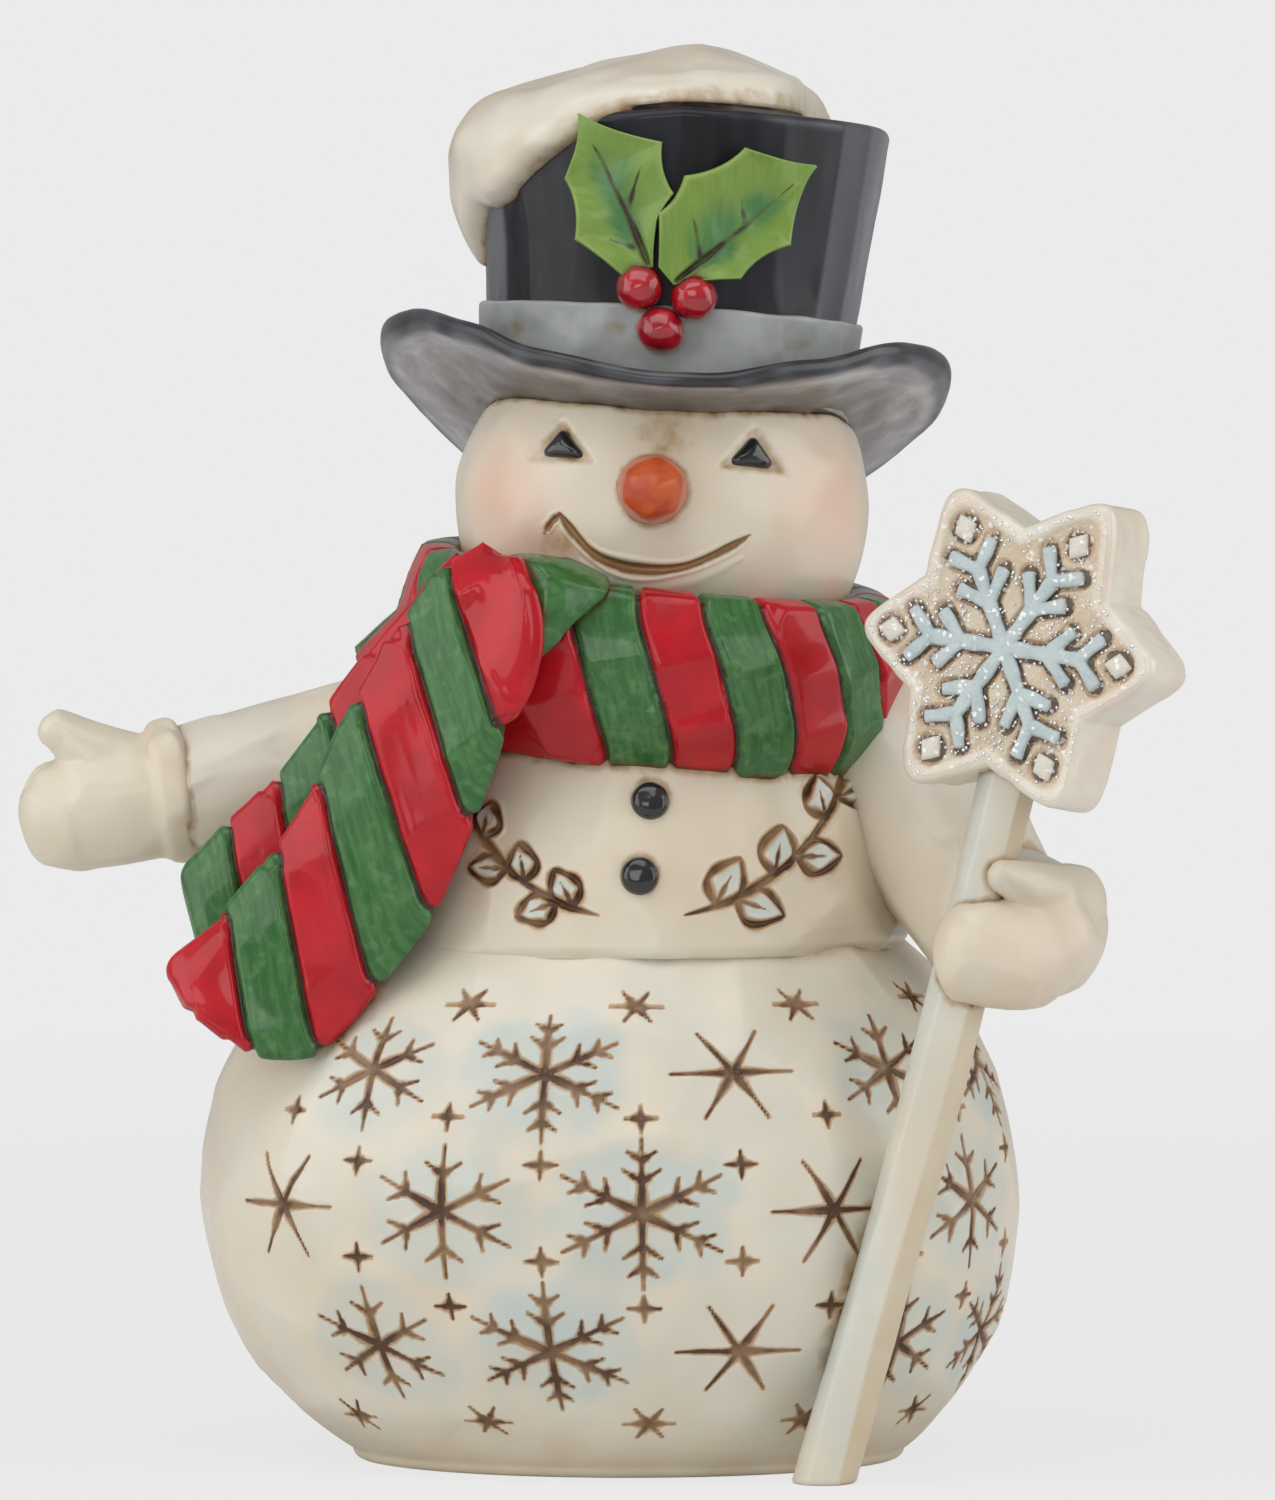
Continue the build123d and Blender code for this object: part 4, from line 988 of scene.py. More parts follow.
def makeHead():
    # an egg whose rings open from the nose to the back of the head, cut level with the underside of the brim
    turn = fullTurn(head["columns"])
    t = np.linspace(0.012, 0.995, head["rows"])[:, None]
    tilt = pi * (0.52 * t + 0.48 * t**2.6)
    noseX, noseZ = head["noseAt"]
    aside, upward = (noseX - headMiddle[0]) / headHalf[0], (noseZ - headMiddle[2]) / headHalf[2]
    forward = unit(np.array([aside, -1, upward]))
    right = unit(np.cross(forward, [0, 0, 1]))
    up = np.cross(right, forward)
    direction = (
        forward * cos(tilt)[..., None]
        + right * (sin(tilt) * cos(turn))[..., None]
        + up * (sin(tilt) * sin(turn))[..., None]
    )
    p = direction * headHalf + headMiddle
    n = unit(direction / headHalf)
    shape = p.shape[:2]
    front = ramp(-p[..., 1], 2, 8)
    smooth = p
    p = whittle(p, n, scatter(p, head["flats"], 31), 3.0, 0.24, 0.05)
    p = p - n * (0.08 * waver(p, 7.0, 33))[..., None]
    place = onEgg(headMiddle, headHalf)
    x, z = p[..., 0], p[..., 2]
    hollow, glaze, cheek = np.zeros(shape), np.zeros(shape), np.zeros(shape)
    patchy = 0.8 + 0.24 * waver(p, 3.0, 35)
    for corners in head["eyes"]:
        off = outsideTriangle(x, z, corners)
        hollow = np.maximum(hollow, (1 - ramp(off, -0.2, head["socket"])) * front)
        glaze = np.maximum(glaze, patchy * bell(np.maximum(off - 0.1, 0), 0.6) * front)
        glaze = np.maximum(glaze, 0.6 * bell(np.maximum(off, 0), 1.35) * front)
    for cx, cz, size in head["cheeks"]:
        cheek = np.maximum(cheek, bell(np.hypot(x - cx, (z - cz) * 0.9), size) * front)
    mouth = stroke(place, np.array(head["mouth"]), head["mouthHalfWidth"], 401, (0.1, 0.35), 40)
    tick = stroke(place, np.array(head["tick"]), head["tickHalfWidth"], 402, (0.5, 0.3), 12)
    below, lipHalf, lipRise = head["lip"]
    under = np.array(head["mouth"])[1:-1]
    lip = stroke(lambda line: place(line - [0, below]), under, lipHalf, 403, (0.4, 0.4), 30)
    gap = nearestCut(smooth, [lip])[0]
    p = p + n * (lipRise * bell(gap, 0.8) * front)[..., None]
    p, cut = gouge(p, n, [mouth, tick], 0.85, 0.34, smooth)
    p = p - n * (head["socketDepth"] * hollow)[..., None]
    # a painted shadow of the brim between the eyes, in the brown glaze and the brown wash
    smudgeX, smudgeZ, size = head["smudge"]
    shadow = bell(np.hypot(x - smudgeX, (z - smudgeZ) * 0.8), size) * front
    glaze = np.maximum(glaze, 0.7 * shadow)
    gap = nearestCut(smooth, [mouth, tick])[0]
    glaze = np.maximum(glaze, np.maximum(1.25 * (1 - ramp(gap, 0.55, 1.5)), 0.4 * bell(gap, 2.8)) * front)
    smearX, smearZ, size = head["smear"]
    corner = bell(np.hypot((x - smearX) * 0.46, z - smearZ), size) * front
    glaze = np.maximum(glaze, 0.72 * corner)
    away = np.linalg.norm(p - place(np.array([head["noseAt"]]))[0], axis=-1)
    glaze = np.maximum(glaze, 0.8 * bell(np.maximum(away - 3.0, 0), 0.6) * front)
    p = underBrim(p, -0.12)
    # painted shade: browner low on the head above the scarf, and low on its right
    jaw = 0.4 * ramp(-z, -76.5, -72.5) + 0.35 * ramp(x, 17, 22) * ramp(-z, -80, -74)
    jaw = np.maximum(jaw, 0.7 * np.maximum(shadow, corner))
    blush = cheek * head["cheekStrength"]
    shell = skin(p, cut=cut * head["mouthStain"], glaze=glaze, blush=blush, wash=jaw)
    keepShape("head", shell, ["head"], "ivory_paint", ivory,
              ("scarfWrap", "scarfFold", "scarfFrontTail", "brim"), 1.3)


def makeEye(name, node, corners):
    # a domed wedge: rings shrink from the rounded triangle's edge to its middle while they rise
    c = np.array(corners)
    middle = c.mean(0)
    turn = fullTurn(72)
    aim = np.stack([cos(turn), sin(turn)], -1)
    reach = np.full(turn.shape, 9.0)
    for a, b in zip(c, np.roll(c, -1, 0)):
        out = np.array([(b - a)[1], -(b - a)[0]]) / np.linalg.norm(b - a)
        out = out * np.sign(((a - middle) * out).sum())
        far = ((a - middle) * out).sum() / np.maximum(aim @ out, 1e-3)
        reach = np.where(aim @ out > 0, np.minimum(reach, far), reach)
    soft = np.hanning(11) / np.hanning(11).sum()
    reach = np.convolve(np.concatenate([reach[-8:], reach, reach[:8]]), soft, "same")[8:-8]
    share = np.array([0.9, 1.0, 1.0, 0.96, 0.86, 0.68, 0.45, 0.2, 0.04])[:, None]
    rise = np.array([-1.6, -1.5, -0.55, -0.2, 0.05, 0.2, 0.3, 0.36, 0.38])[:, None]
    flat = middle + aim * (share * reach)[..., None]
    place = onEgg(headMiddle, headHalf)
    seat = place(flat.reshape(-1, 2)).reshape(*flat.shape[:2], 3)
    out = unit((place(middle[None])[0] - headMiddle) / headHalf**2)
    keepShape(name, skin(seat + out * rise[..., None]), [node], "coal_paint", coal)


nose = {
    "lift": 1.0,  # degrees that its end points up
    "radius": 3.0,
    "narrowing": 0.26,  # share of the radius that it loses along its length
    "blunt": 0.66,  # share of its length where the end starts to round off
}


def makeNose():
    # a blunt carrot end: rings along its axis, narrowing a little from the root, with knife flats round it
    low = cornersOf("carrot_nose")[0]
    lift = np.radians(nose["lift"])
    axis = np.array([0, -cos(lift), sin(lift)])
    root = onEgg(headMiddle, headHalf)(np.array([head["noseAt"]]))[0] - axis
    length = root[1] - low[1] - 0.1
    closing = 0.82 + 0.18 * sin(np.linspace(0.06, pi / 2, 14))  # rings closer together at its end
    t = np.concatenate([np.linspace(0, 0.82, 34), closing])[:, None]
    end = np.maximum(0, (t - nose["blunt"]) / 0.34) ** 2.2
    radius = nose["radius"] * (1 - nose["narrowing"] * t**2) * np.sqrt(np.clip(1.0004 - end, 0.0004, 1))
    side = np.array([1.0, 0, 0])
    p = root + axis * (length * t)[..., None] + circle(side, np.cross(side, axis), 96) * radius[..., None]
    n = ringNormals(p)
    p = whittle(p, n, scatter(p, 2.4, 41), 1.2, 0.3, 0.0)
    glaze = 0.6 * np.broadcast_to(1 - ramp(t, 0.05, 0.3), p.shape[:2])
    keepShape("nose", skin(p, glaze=glaze), ["carrot_nose"], "carrot_paint", carrot, ("head",), 0.9)


def makeButtons():
    # a low dome on a rim: rings from under the edge, over it, to the middle
    for name, node in (("buttonUpper", "button_upper"), ("buttonLower", "button_lower")):
        low, high = cornersOf(node)
        radius = (high[0] - low[0]) / 2
        place = onEgg(chestMiddle, chestHalf)(np.array([middleOf(node)[[0, 2]]]))[0]
        out = unit((place - chestMiddle) / chestHalf**2)
        side = unit(np.cross(out, [0, 0, 1]))
        t = np.linspace(0, 1, 26)[:, None]
        ring = radius * 1.04 * cos(pi / 2 * np.clip(t * 1.15 - 0.15, 0, 0.985)) ** 0.62
        rise = -0.6 + 1.6 * sin(pi / 2 * t) ** 0.8
        p = place + out * rise[..., None] + circle(side, np.cross(side, out), 72) * ring[..., None]
        p = p + 0.03 * waver(p, 1.6, 51)[..., None] * out
        keepShape(name, skin(p), [node], "coal_paint", coal)


# hat
hat = {
    "base": (4.6, 0.5, 88.3),
    "brimMiddle": (4.15, 0.5, 87.1),
    "brimTurn": (-20.7, 4.3),  # tilt and roll in degrees
    "crownTurn": (-2.5, 3.6),
    "brimHalf": (25.1, 22.0),
    "brimBow": 30.2,  # radius of the bend across it
    "brimFlatter": (17.0, 0.06),  # beyond this half width it bends less, by this share of the square
    "brimHalfThickness": 0.72,
    "brimColumns": 420,
    "crownHalfLow": 15.3,
    "crownHalfTop": 18.1,
    "flatness": 0.92,  # depth over width
    "crownHeight": 29.0,
    "crownFlats": 4.4,
    "bandHeight": 11.8,
    "bandProud": 0.6,
    "bandStains": ((-8.0, 98.9, 1.7), (0.4, 98.8, 1.5)),  # x, z and spread, on its front
    "snowPeak": 6.45,
    "snowShift": 1.2,  # of its top, to the right
    "snowThickness": 1.9,
    # azimuth from the right, towards the back, and how far the snow reaches past the crown's top edge
    "snowReach": ((0, -7.6), (-30, -5.4), (-60, -2.4), (-80, -1.2), (-95, -0.8), (-108, -0.2), (-118, 1.2),
                  (-128, 3.0), (-137, 5.2), (-146, 7.6), (-155, 8.2), (-164, 7.6), (-171, 12.0), (-177, 15.0),
                  (177, 12.0), (166, 8.0), (148, 7.0), (120, 6.0), (90, 3.0), (45, 0.5), (20, -5.0)),
    "snowCorner": 2.4,  # radius with which it turns down over the edge
    "snowLip": 2.6,  # length over which it rounds off
    "topLean": 0.13,  # how much the left of the top is lower, for each millimetre outwards
    "crownRounding": 0.9,
    "crownColumns": 360,
    "bandRounding": 0.35,
    "seam": ((-86.5, -2.0), (-86.8, 1.6), (-87.4, 5.2)),  # of the band: azimuth and height
}
hatBase, brimMiddle = np.array(hat["base"]), np.array(hat["brimMiddle"])
brimAxes = axesOf(*hat["brimTurn"])
crownAxes = axesOf(*hat["crownTurn"])


def brimHeight(x, above):
    # height of the bent plate at x, a little above or below its middle: a circle, eased towards its ends
    start, share = hat["brimFlatter"]
    x = np.clip(x, -26, 26)
    eased = share * np.maximum(np.abs(x) - start, 0) ** 2
    return hat["brimBow"] - np.sqrt((hat["brimBow"] - above) ** 2 - x**2) - eased


def underBrim(p, gap):
    # points higher than the brim's underside come down to it, along the brim's own upward axis
    q = (p - brimMiddle) @ brimAxes.T
    top = brimHeight(q[..., 0], -hat["brimHalfThickness"]) - gap
    q[..., 2] = -np.logaddexp(-3.0 * q[..., 2], -3.0 * top) / 3.0
    return q @ brimAxes + brimMiddle


def crownHalf(h):  # a straight flare, drawn in a little half way up
    t = np.clip(h / hat["crownHeight"], -0.4, 1)
    flare = hat["crownHalfTop"] - hat["crownHalfLow"]
    return hat["crownHalfLow"] + flare * t - 0.25 * sin(pi * np.clip(t, 0, 1))


def crownPoint(angle, h, out=0.0):  # angle in radians from the right, towards the back
    wide = crownHalf(h)
    local = xyz((wide + out) * cos(angle), (wide * hat["flatness"] + out) * sin(angle), h)
    return local @ crownAxes + hatBase


def leanTop(local):  # its left side is lower, more and more towards the top
    rise = np.minimum(local[..., 0], 0) * ramp(local[..., 2], 16, hat["crownHeight"])
    local[..., 2] += hat["topLean"] * rise


def brimLevel(turn):  # where the brim meets the crown, as a height up the crown's own axis
    x, y = hat["crownHalfLow"] * cos(turn), hat["crownHalfLow"] * hat["flatness"] * sin(turn)
    tilt, roll = np.radians(np.subtract(hat["crownTurn"], hat["brimTurn"]))
    return brimMiddle[2] - hatBase[2] + brimHeight(x, 0.0) - y * np.tan(tilt) + x * np.tan(roll)


def makeBrim():
    # an oval plate bent like a gutter: rings run out over its top, round its edge and back below
    half = hat["brimHalfThickness"]
    edge = np.linspace(pi / 2, -pi / 2, 13)
    out = np.linspace(0.35, 0.97, 46)
    share = np.concatenate([out, 0.971 + 0.029 * cos(edge), out[::-1]])[:, None]
    above = np.concatenate([np.ones(46), sin(edge), -np.ones(46)])[:, None] * half
    turn = fullTurn(hat["brimColumns"])
    x = share * hat["brimHalf"][0] * cos(turn)
    y = share * hat["brimHalf"][1] * sin(turn)
    q = xyz(x, y, brimHeight(x, above))
    p = q @ brimAxes + brimMiddle
    n = ringNormals(p)
    under = np.broadcast_to(above < -0.2 * half, x.shape)
    rim = bell(share - 1, 0.05)
    uneven = 0.1 * waver(q * [1, 1, 0.4], 7.0, 62) + 0.035 * waver(q, 3.0, 63)
    p = p - n * (uneven * (1 - 0.7 * rim))[..., None]
    p[..., 2] += 0.16 * waver(q * [1, 1, 0], 9.0, 61) * rim
    radial = np.broadcast_to(share, x.shape)
    flow = xyz(radial * 23 * toMetres, cos(turn) * 0.006, sin(turn) * 0.006)
    # the underside's streaky grey is partly a painted reflection of the pale floor
    rubbed = under * (1 - ramp(radial, 0.93, 0.985))
    front = ramp(-np.broadcast_to(sin(turn), x.shape), 0.0, 0.7)
    shade = under * (1 - ramp(radial, 0.72 + 0.1 * front, 0.86 + 0.08 * front)) * 0.8
    # painted highlights, with some wear, along the brim's edge
    worn = 0.5 * bell(radial - 0.985, 0.016) * ramp(waver(p, 5.0, 64), -0.6, 0.9)
    shell = skin(p, rubbed=rubbed, shade=shade, worn=worn, flow=flow)
    keepShape("brim", shell, ["hat_brim"], "brim_paint", brimBlack, ("head", "hatBand"), 1.2)


def makeCrown():
    # crownPoint over angle and height, a quarter circle over the edge and a flat top; the wall is whittled
    turn = fullTurn(hat["crownColumns"])
    high, rounding = hat["crownHeight"], hat["crownRounding"]
    low = brimLevel(turn)
    h = low + (high - rounding - low) * np.linspace(0, 1, 92)[:, None]
    wall = crownPoint(turn, h)
    bow = np.radians(np.linspace(8, 90, 9))[:, None]
    lip = crownPoint(turn, high - rounding + rounding * sin(bow), -rounding * (1 - cos(bow)))
    inner = np.linspace(-1.4, -14.5, 12)[:, None]
    p = np.concatenate([wall, lip, crownPoint(turn, np.full((12, 1), high), inner)])
    n = ringNormals(p)
    upright = (1, 1, 0.3)  # the flats are longer upwards
    carved = whittle(wall, n[:92], scatter(wall * upright, hat["crownFlats"], 71), 1.2, 0.7, 0.02, upright)
    ends = ramp(h, high - 6, high - 1) + ramp(-h, -14, -11)  # shallower at the top and behind the band
    carved = carved + (wall - carved) * 0.6 * ends[..., None]
    side = np.concatenate([np.ones(92), np.linspace(1, 0.2, 9), np.zeros(12)])[:, None, None]
    p = p + np.concatenate([carved - wall, np.tile(carved[-1:] - wall[-1:], (21, 1, 1))]) * side
    local = (p - hatBase) @ crownAxes.T
    leanTop(local)
    p = local @ crownAxes + hatBase
    # the top edge on the right is painted lighter: part wear, part painted highlight
    worn = 0.55 * bell(local[..., 2] - high + 0.5, 0.35) * ramp(waver(p, 6.0, 72), -0.8, 0.6)
    worn = worn * ramp(local[..., 0], 0, 12)
    across = cos(turn)  # the flats at the two sides get grey painted highlights
    sides = 0.58 * ramp(across, 0.76, 0.79) + 0.62 * ramp(across, 0.9, 0.92)
    sides = sides + 0.78 * ramp(-across, 0.87, 0.895)
    worn = np.maximum(worn, sides * (0.9 + 0.15 * waver(p * upright, 6.0, 73)))
    keepShape("crown", skin(p, worn=worn * side[..., 0]), ["hat_crown"], "crown_paint", crownBlack,
              ("hatBand", "snow", "leafLeft", "leafRight"), 1.0)


def makeBand():
    # a thin sleeve round the crown; its section is a loop with rounded corners
    turn = fullTurn(hat["crownColumns"])
    top, proud, rounding = hat["bandHeight"], hat["bandProud"], hat["bandRounding"]
    bow = np.radians(np.linspace(0, 90, 6))
    low = brimLevel(turn)
    share = np.concatenate([np.linspace(0, 1, 35)[:-1], np.ones(6), [1, 0.6, 0]])[:, None]
    h = low + (top - rounding - low) * share
    h[34:40] += rounding * sin(bow)[:, None]
    out = np.concatenate([np.full(34, proud), proud - rounding * (1 - cos(bow)), [-0.3, -0.5, -0.5]])
    out = out[:, None]
    p = crownPoint(turn, h, out)
    n = ringNormals(p, True)
    outer = (np.arange(len(p)) < 40)[:, None]
    p = p - n * (0.09 * waver(p, 7.0, 75) * outer)[..., None]
    azimuths, levels = np.array(hat["seam"]).T
    seam = stroke(lambda line: line, crownPoint(np.radians(azimuths), levels, proud), 0.3, 76)
    p, cut = gouge(p, n, [seam], 0.8, 0.3)
    glaze = 0.62 * ramp(waver(p * [1, 1, 2.2], 9.0, 77), 0.5, 1.4) * outer
    for x, z, size in hat["bandStains"]:
        stain = bell(np.hypot(p[..., 0] - x, (p[..., 2] - z) * 1.3), size)
        glaze = np.maximum(glaze, 0.8 * stain * outer * (p[..., 1] < 0))
    shell = skin(p, loop=True, cut=cut, glaze=glaze)
    keepShape("hatBand", shell, ["hat_band"], "band_paint", bandGrey,
              ("crown", "brim", "berryLeft", "berryRight", "berryLower"), 0.9)


def makeSnow():
    # each ring is a distance along the crown's top from its middle, out over the rounded edge and down the
    # side; the thickness stands on that path, tallest in the middle, and rounds off into a lip
    turn = fullTurn(hat["crownColumns"])
    degrees = np.degrees(turn)
    places, reaches = np.array(hat["snowReach"], float).T
    ripple = 0.2 * sin(np.radians(degrees) * 11) * ramp(-cos(turn), -0.4, 0.2)
    reach = roundCurve(degrees, np.mod(places, 360), reaches) + ripple
    radius, corner = hat["crownHalfTop"], hat["snowCorner"]
    closing = 0.8 + 0.2 * sin(np.linspace(0.05, pi / 2, 26))
    t = np.concatenate([np.linspace(0.04, 0.8, 70), closing])[:, None]
    along = -radius + t * (radius + reach)
    quarter = corner * pi / 4
    bent = np.clip((along + quarter) / (2 * quarter), 0, 1) * pi / 2
    flat = radius - corner
    path = np.where(along < -quarter, flat + along + quarter, flat + corner * sin(bent))
    down = np.where(along > quarter, corner + along - quarter, corner * (1 - cos(bent)))
    left = ramp(-cos(turn), 0.2, 0.95)
    uneven = 0.35 * waver(xyz(cos(turn) * 18, sin(turn) * 17, 0), 9.0, 81)
    thick = hat["snowThickness"] + 0.75 * left + uneven * ramp(t, 0.2, 0.8)
    mound = (hat["snowPeak"] - thick) * np.clip(1 - (np.maximum(along + radius, 0) / radius) ** 1.9, 0, 1)
    mound = mound * (1 - 0.45 * ramp(cos(turn), 0, 1) * ramp(along, -radius, -5))
    thin = 1 - 0.55 * ramp(along, 6, 15)  # a drip gets thinner
    fromEnd = np.clip((reach - along) / hat["snowLip"], 0, 1)
    rounded = np.sqrt(np.clip(1 - (1 - fromEnd) ** 2, 0, 1))
    height = (thick * thin + mound) * rounded - 0.6 * (1 - rounded) ** 4
    out = height * sin(bent)
    wide = path + crownHalf(hat["crownHeight"] - down) - radius + out
    level = hat["crownHeight"] - down + height * cos(bent)
    deep = wide * hat["flatness"] + (1 - hat["flatness"]) * out
    q = xyz(wide * cos(turn), deep * sin(turn), level)
    leanTop(q)
    q[..., 0] += hat["snowShift"] * ramp(q[..., 2], hat["crownHeight"] + 0.5, hat["crownHeight"] + 5)
    p = q @ crownAxes + hatBase
    n = ringNormals(p)
    p = p - n * (0.2 * waver(p, 8.0, 83) * rounded)[..., None]
    across = cos(turn)
    tall = 0.75 * ramp(across, -0.36, 0.15) * (1 - ramp(across, 0.8, 0.99))
    seam = ramp(tall + hat["crownHeight"] - q[..., 2], 0.0, 0.25) * ramp(along, -14, -10)
    seam = seam * ramp(across, -0.36, -0.2) * (sin(turn) < 0)
    p = p - n * (0.3 * seam)[..., None]  # a seam pressed in between the snow and the crown's edge and painted dark as the shadow under the snow's lip
    end = 1 - fromEnd
    # painted shade along the snow's lip, more on the front
    glaze = 0.5 * ramp(end, 0.55, 1.0) + 0.32 * ramp(end, 0.2, 0.8) * ramp(-sin(turn), 0.5, 0.9)
    keepShape("snow", skin(p, glaze=glaze, cut=seam), ["hat_snow"], "snow_paint", snowCream, ("crown",), 1.0)


# holly
holly = {
    "thickness": 1.35,
    "lift": 0.75,  # of the leaves' undersides over the crown, in their middles
    "cup": 0.9,  # how much the edges bend out
    # root and tip on the crown, as x and z; spines and hollows as (along, across) from the root
    "left": {
        "root": (3.5, 103.9),
        "tip": (-2.55, 117.2),
        "right": ((0, 0.3), (3.5, 2.3), (5.0, 4.5), (9.4, 5.45)),
        "left": ((0, 2.3), (4.8, 4.8), (9.9, 3.4)),
        "veins": ((4.6, (8.3, 3.0)), (1.6, (3.6, -2.1))),  # start on the middle vein, and end
    },
    "right": {
        "root": (5.4, 102.6),
        "tip": (17.7, 112.9),
        "right": ((0, 0.2), (4.7, 3.4), (9.8, 3.85)),
        "left": ((0, 1.9), (3.0, 5.4), (6.7, 6.45), (12.2, 5.05)),
        "veins": ((3.1, (5.2, -3.7)), (7.9, (9.3, -2.1))),
    },
    "tipLift": 0.5,  # how far the tips bend out
    "hollow": 0.1,  # depth of the curve between spines, over its length
    "berry": 1.95,  # radius
    "berryFlats": 1.7,
    # of the berries from the frame's own, in x and z
    "berryShift": {"left": (1.0, -0.9), "right": (0.2, -0.45), "lower": (0.6, -0.75)},
}


def onCrown(x, z, out):
    # a place in front view, moved on to the crown's front and then off it
    y = np.full(np.shape(x), -15.0)
    for _ in range(3):  # three steps are enough to close in on it
        local = (xyz(x, y, z) - hatBase) @ crownAxes.T
        wide = crownHalf(local[..., 2])
        beside = np.minimum(np.abs(local[..., 0]), wide * 0.97)
        want = -hat["flatness"] * np.sqrt(np.maximum(wide**2 - beside**2, 0))
        y = y + want - local[..., 1]
    side = local[..., 0] / wide
    lean = unit(xyz(side * hat["flatness"], -np.sqrt(np.maximum(1 - side**2, 0.05)), 0) @ crownAxes)
    return xyz(x, y, z) + lean * [0.15, 1, 1] * np.asarray(out)[..., None], lean


def leafEdge(points, length, along):
    # distance of one edge from the middle line: straight from spine to spine, less a bow between them
    k = np.array(points + ((length, 0.0),), float)
    across = np.interp(along, k[:, 0], k[:, 1])
    place = np.clip(np.searchsorted(k[:, 0], along, "right") - 1, 0, len(k) - 2)
    span = k[place + 1, 0] - k[place, 0]
    share = np.clip((along - k[place, 0]) / span, 0, 1)
    first = np.where(place == 0, 0.3, 1.0)
    return np.maximum(across - first * holly["hollow"] * span * 4 * share * (1 - share), 0.12)


def makeLeaf(name, node, form, seed):
    # a thin plate over along and across the leaf, between its two edges, laid on the crown and bent off it
    root, tip = np.array(form["root"]), np.array(form["tip"])
    length = np.linalg.norm(tip - root)
    forward = (tip - root) / length
    right = np.array([forward[1], -forward[0]])
    spines = [point[0] for side in ("left", "right") for point in form[side]]
    along = np.unique(np.concatenate([np.linspace(0, length, 110), spines, np.add(spines, 0.05)]))
    along = along[along <= length - 0.01]
    edges = leafEdge(form["right"], length, along), leafEdge(form["left"], length, along)
    # the section's loop: out over the top, round the right edge, back below, round the left edge
    bow = np.linspace(pi / 2, -pi / 2, 7)[1:-1]
    top = np.linspace(-0.93, 0.93, 45)
    share = np.concatenate([top, 0.93 + 0.07 * cos(bow), top[::-1], -0.93 - 0.07 * cos(bow)])
    above = np.concatenate([np.ones(45), sin(bow), -np.ones(45), -sin(bow)])
    across = np.where(share > 0, share * edges[0][:, None], share * edges[1][:, None])
    flat = root + along[:, None, None] * forward + across[..., None] * right
    wide = np.maximum(*edges)[:, None]
    tipRise = lambda place: holly["tipLift"] * ramp(place, length * 0.6, length)
    cup = holly["cup"] * share**2 * ramp(wide, 0.5, 4) + tipRise(along)[:, None]
    base = holly["lift"] + cup + holly["thickness"] * 0.5 * (1 + above)
    frontView = xyz(flat[..., 0], flat[..., 1], 0)
    ridge = 0.22 * waver(frontView, 4.0, seed) * (above > 0)
    p, lean = onCrown(flat[..., 0], flat[..., 1], base + ridge)

    def place(line):
        spot = root + line[:, :1] * forward + line[:, 1:] * right
        limits = [leafEdge(form[side], length, line[:, 0]) for side in ("right", "left")]
        limit = np.where(line[:, 1] > 0, *limits)
        cupped = holly["cup"] * (np.abs(line[:, 1]) / np.maximum(limit, 0.4)) ** 2
        lift = holly["lift"] + cupped + tipRise(line[:, 0]) + holly["thickness"]
        return onCrown(spot[:, 0], spot[:, 1], lift)[0]

    middleVein = np.array([(0.4, 0), (length * 0.45, 0.25), (length * 0.84, 0)])
    strokes = [stroke(place, middleVein, 0.3, seed, (0.05, 0.7), 24)]
    for start, end in form["veins"]:
        middle = (start * 0.5 + end[0] * 0.5, end[1] * 0.42)
        vein = np.array([(start, 0), middle, end])
        strokes.append(stroke(place, vein, 0.2, seed + int(start * 10), (0.1, 0.7), 14))
    p, cut = gouge(p, lean, strokes, 0.9, 0.25)
    top = np.broadcast_to(above > 0.5, cut.shape)
    broad = 1 - ramp(np.abs(share), 0.1, 0.9)
    shade = top * broad * ramp(along, 0.5, 4)[:, None]
    shade = shade * (1 - ramp(along, length * 0.6, length * 0.92))[:, None]
    shade = shade * np.clip(0.8 + 0.2 * waver(frontView, 4.0, seed + 1), 0.3, 1)
    worn = (0.3 * ramp(np.abs(share), 0.86, 0.97) * (above > -0.5)) * np.ones_like(cut)
    flow = xyz((along[:, None] - 0.9 * np.abs(across)) * 0.001, across * 0.00025, 0)
    # painted shade on the leaf's underside
    glaze = 0.8 * (above < -0.2) * np.ones_like(cut)
    shell = skin(p, cut=cut * top, shade=shade, worn=worn, flow=flow, glaze=glaze)
    keepShape(name, shell, [node], "leaf_paint", leafGreen, ("berryLeft", "berryRight", "berryLower"), 0.7)


def makeBerry(name, node, shift, seed, touching):
    # a small ball whittled to flats: rings from pole to pole
    radius = holly["berry"]
    x, _, z = middleOf(node)
    middle = np.array([x + shift[0], cornersOf(node)[0][1] + radius, z + shift[1]])
    tilt = np.linspace(0.03, pi - 0.03, 44)[:, None]
    turn = fullTurn(72)
    n = xyz(sin(tilt) * cos(turn), -cos(tilt) * np.ones_like(turn), sin(tilt) * sin(turn))
    p = whittle(middle + radius * n, n, scatter(n * radius, holly["berryFlats"], seed), 0.7, 0.2, 0.0)
    keepShape(name, skin(p), [node], "berry_paint", berryRed, touching, 0.6)


def makeHolly():
    makeLeaf("leafLeft", "holly_leaf_left", holly["left"], 91)
    makeLeaf("leafRight", "holly_leaf_right", holly["right"], 96)
    others = ("leafLeft", "leafRight", "hatBand", "berryLeft", "berryRight", "berryLower")
    for k, side in enumerate(("Left", "Right", "Lower")):
        name = "berry" + side
        rest = tuple(other for other in others if other != name)
        makeBerry(name, "holly_berry_" + side.lower(), holly["berryShift"][side.lower()], 101 + k, rest)


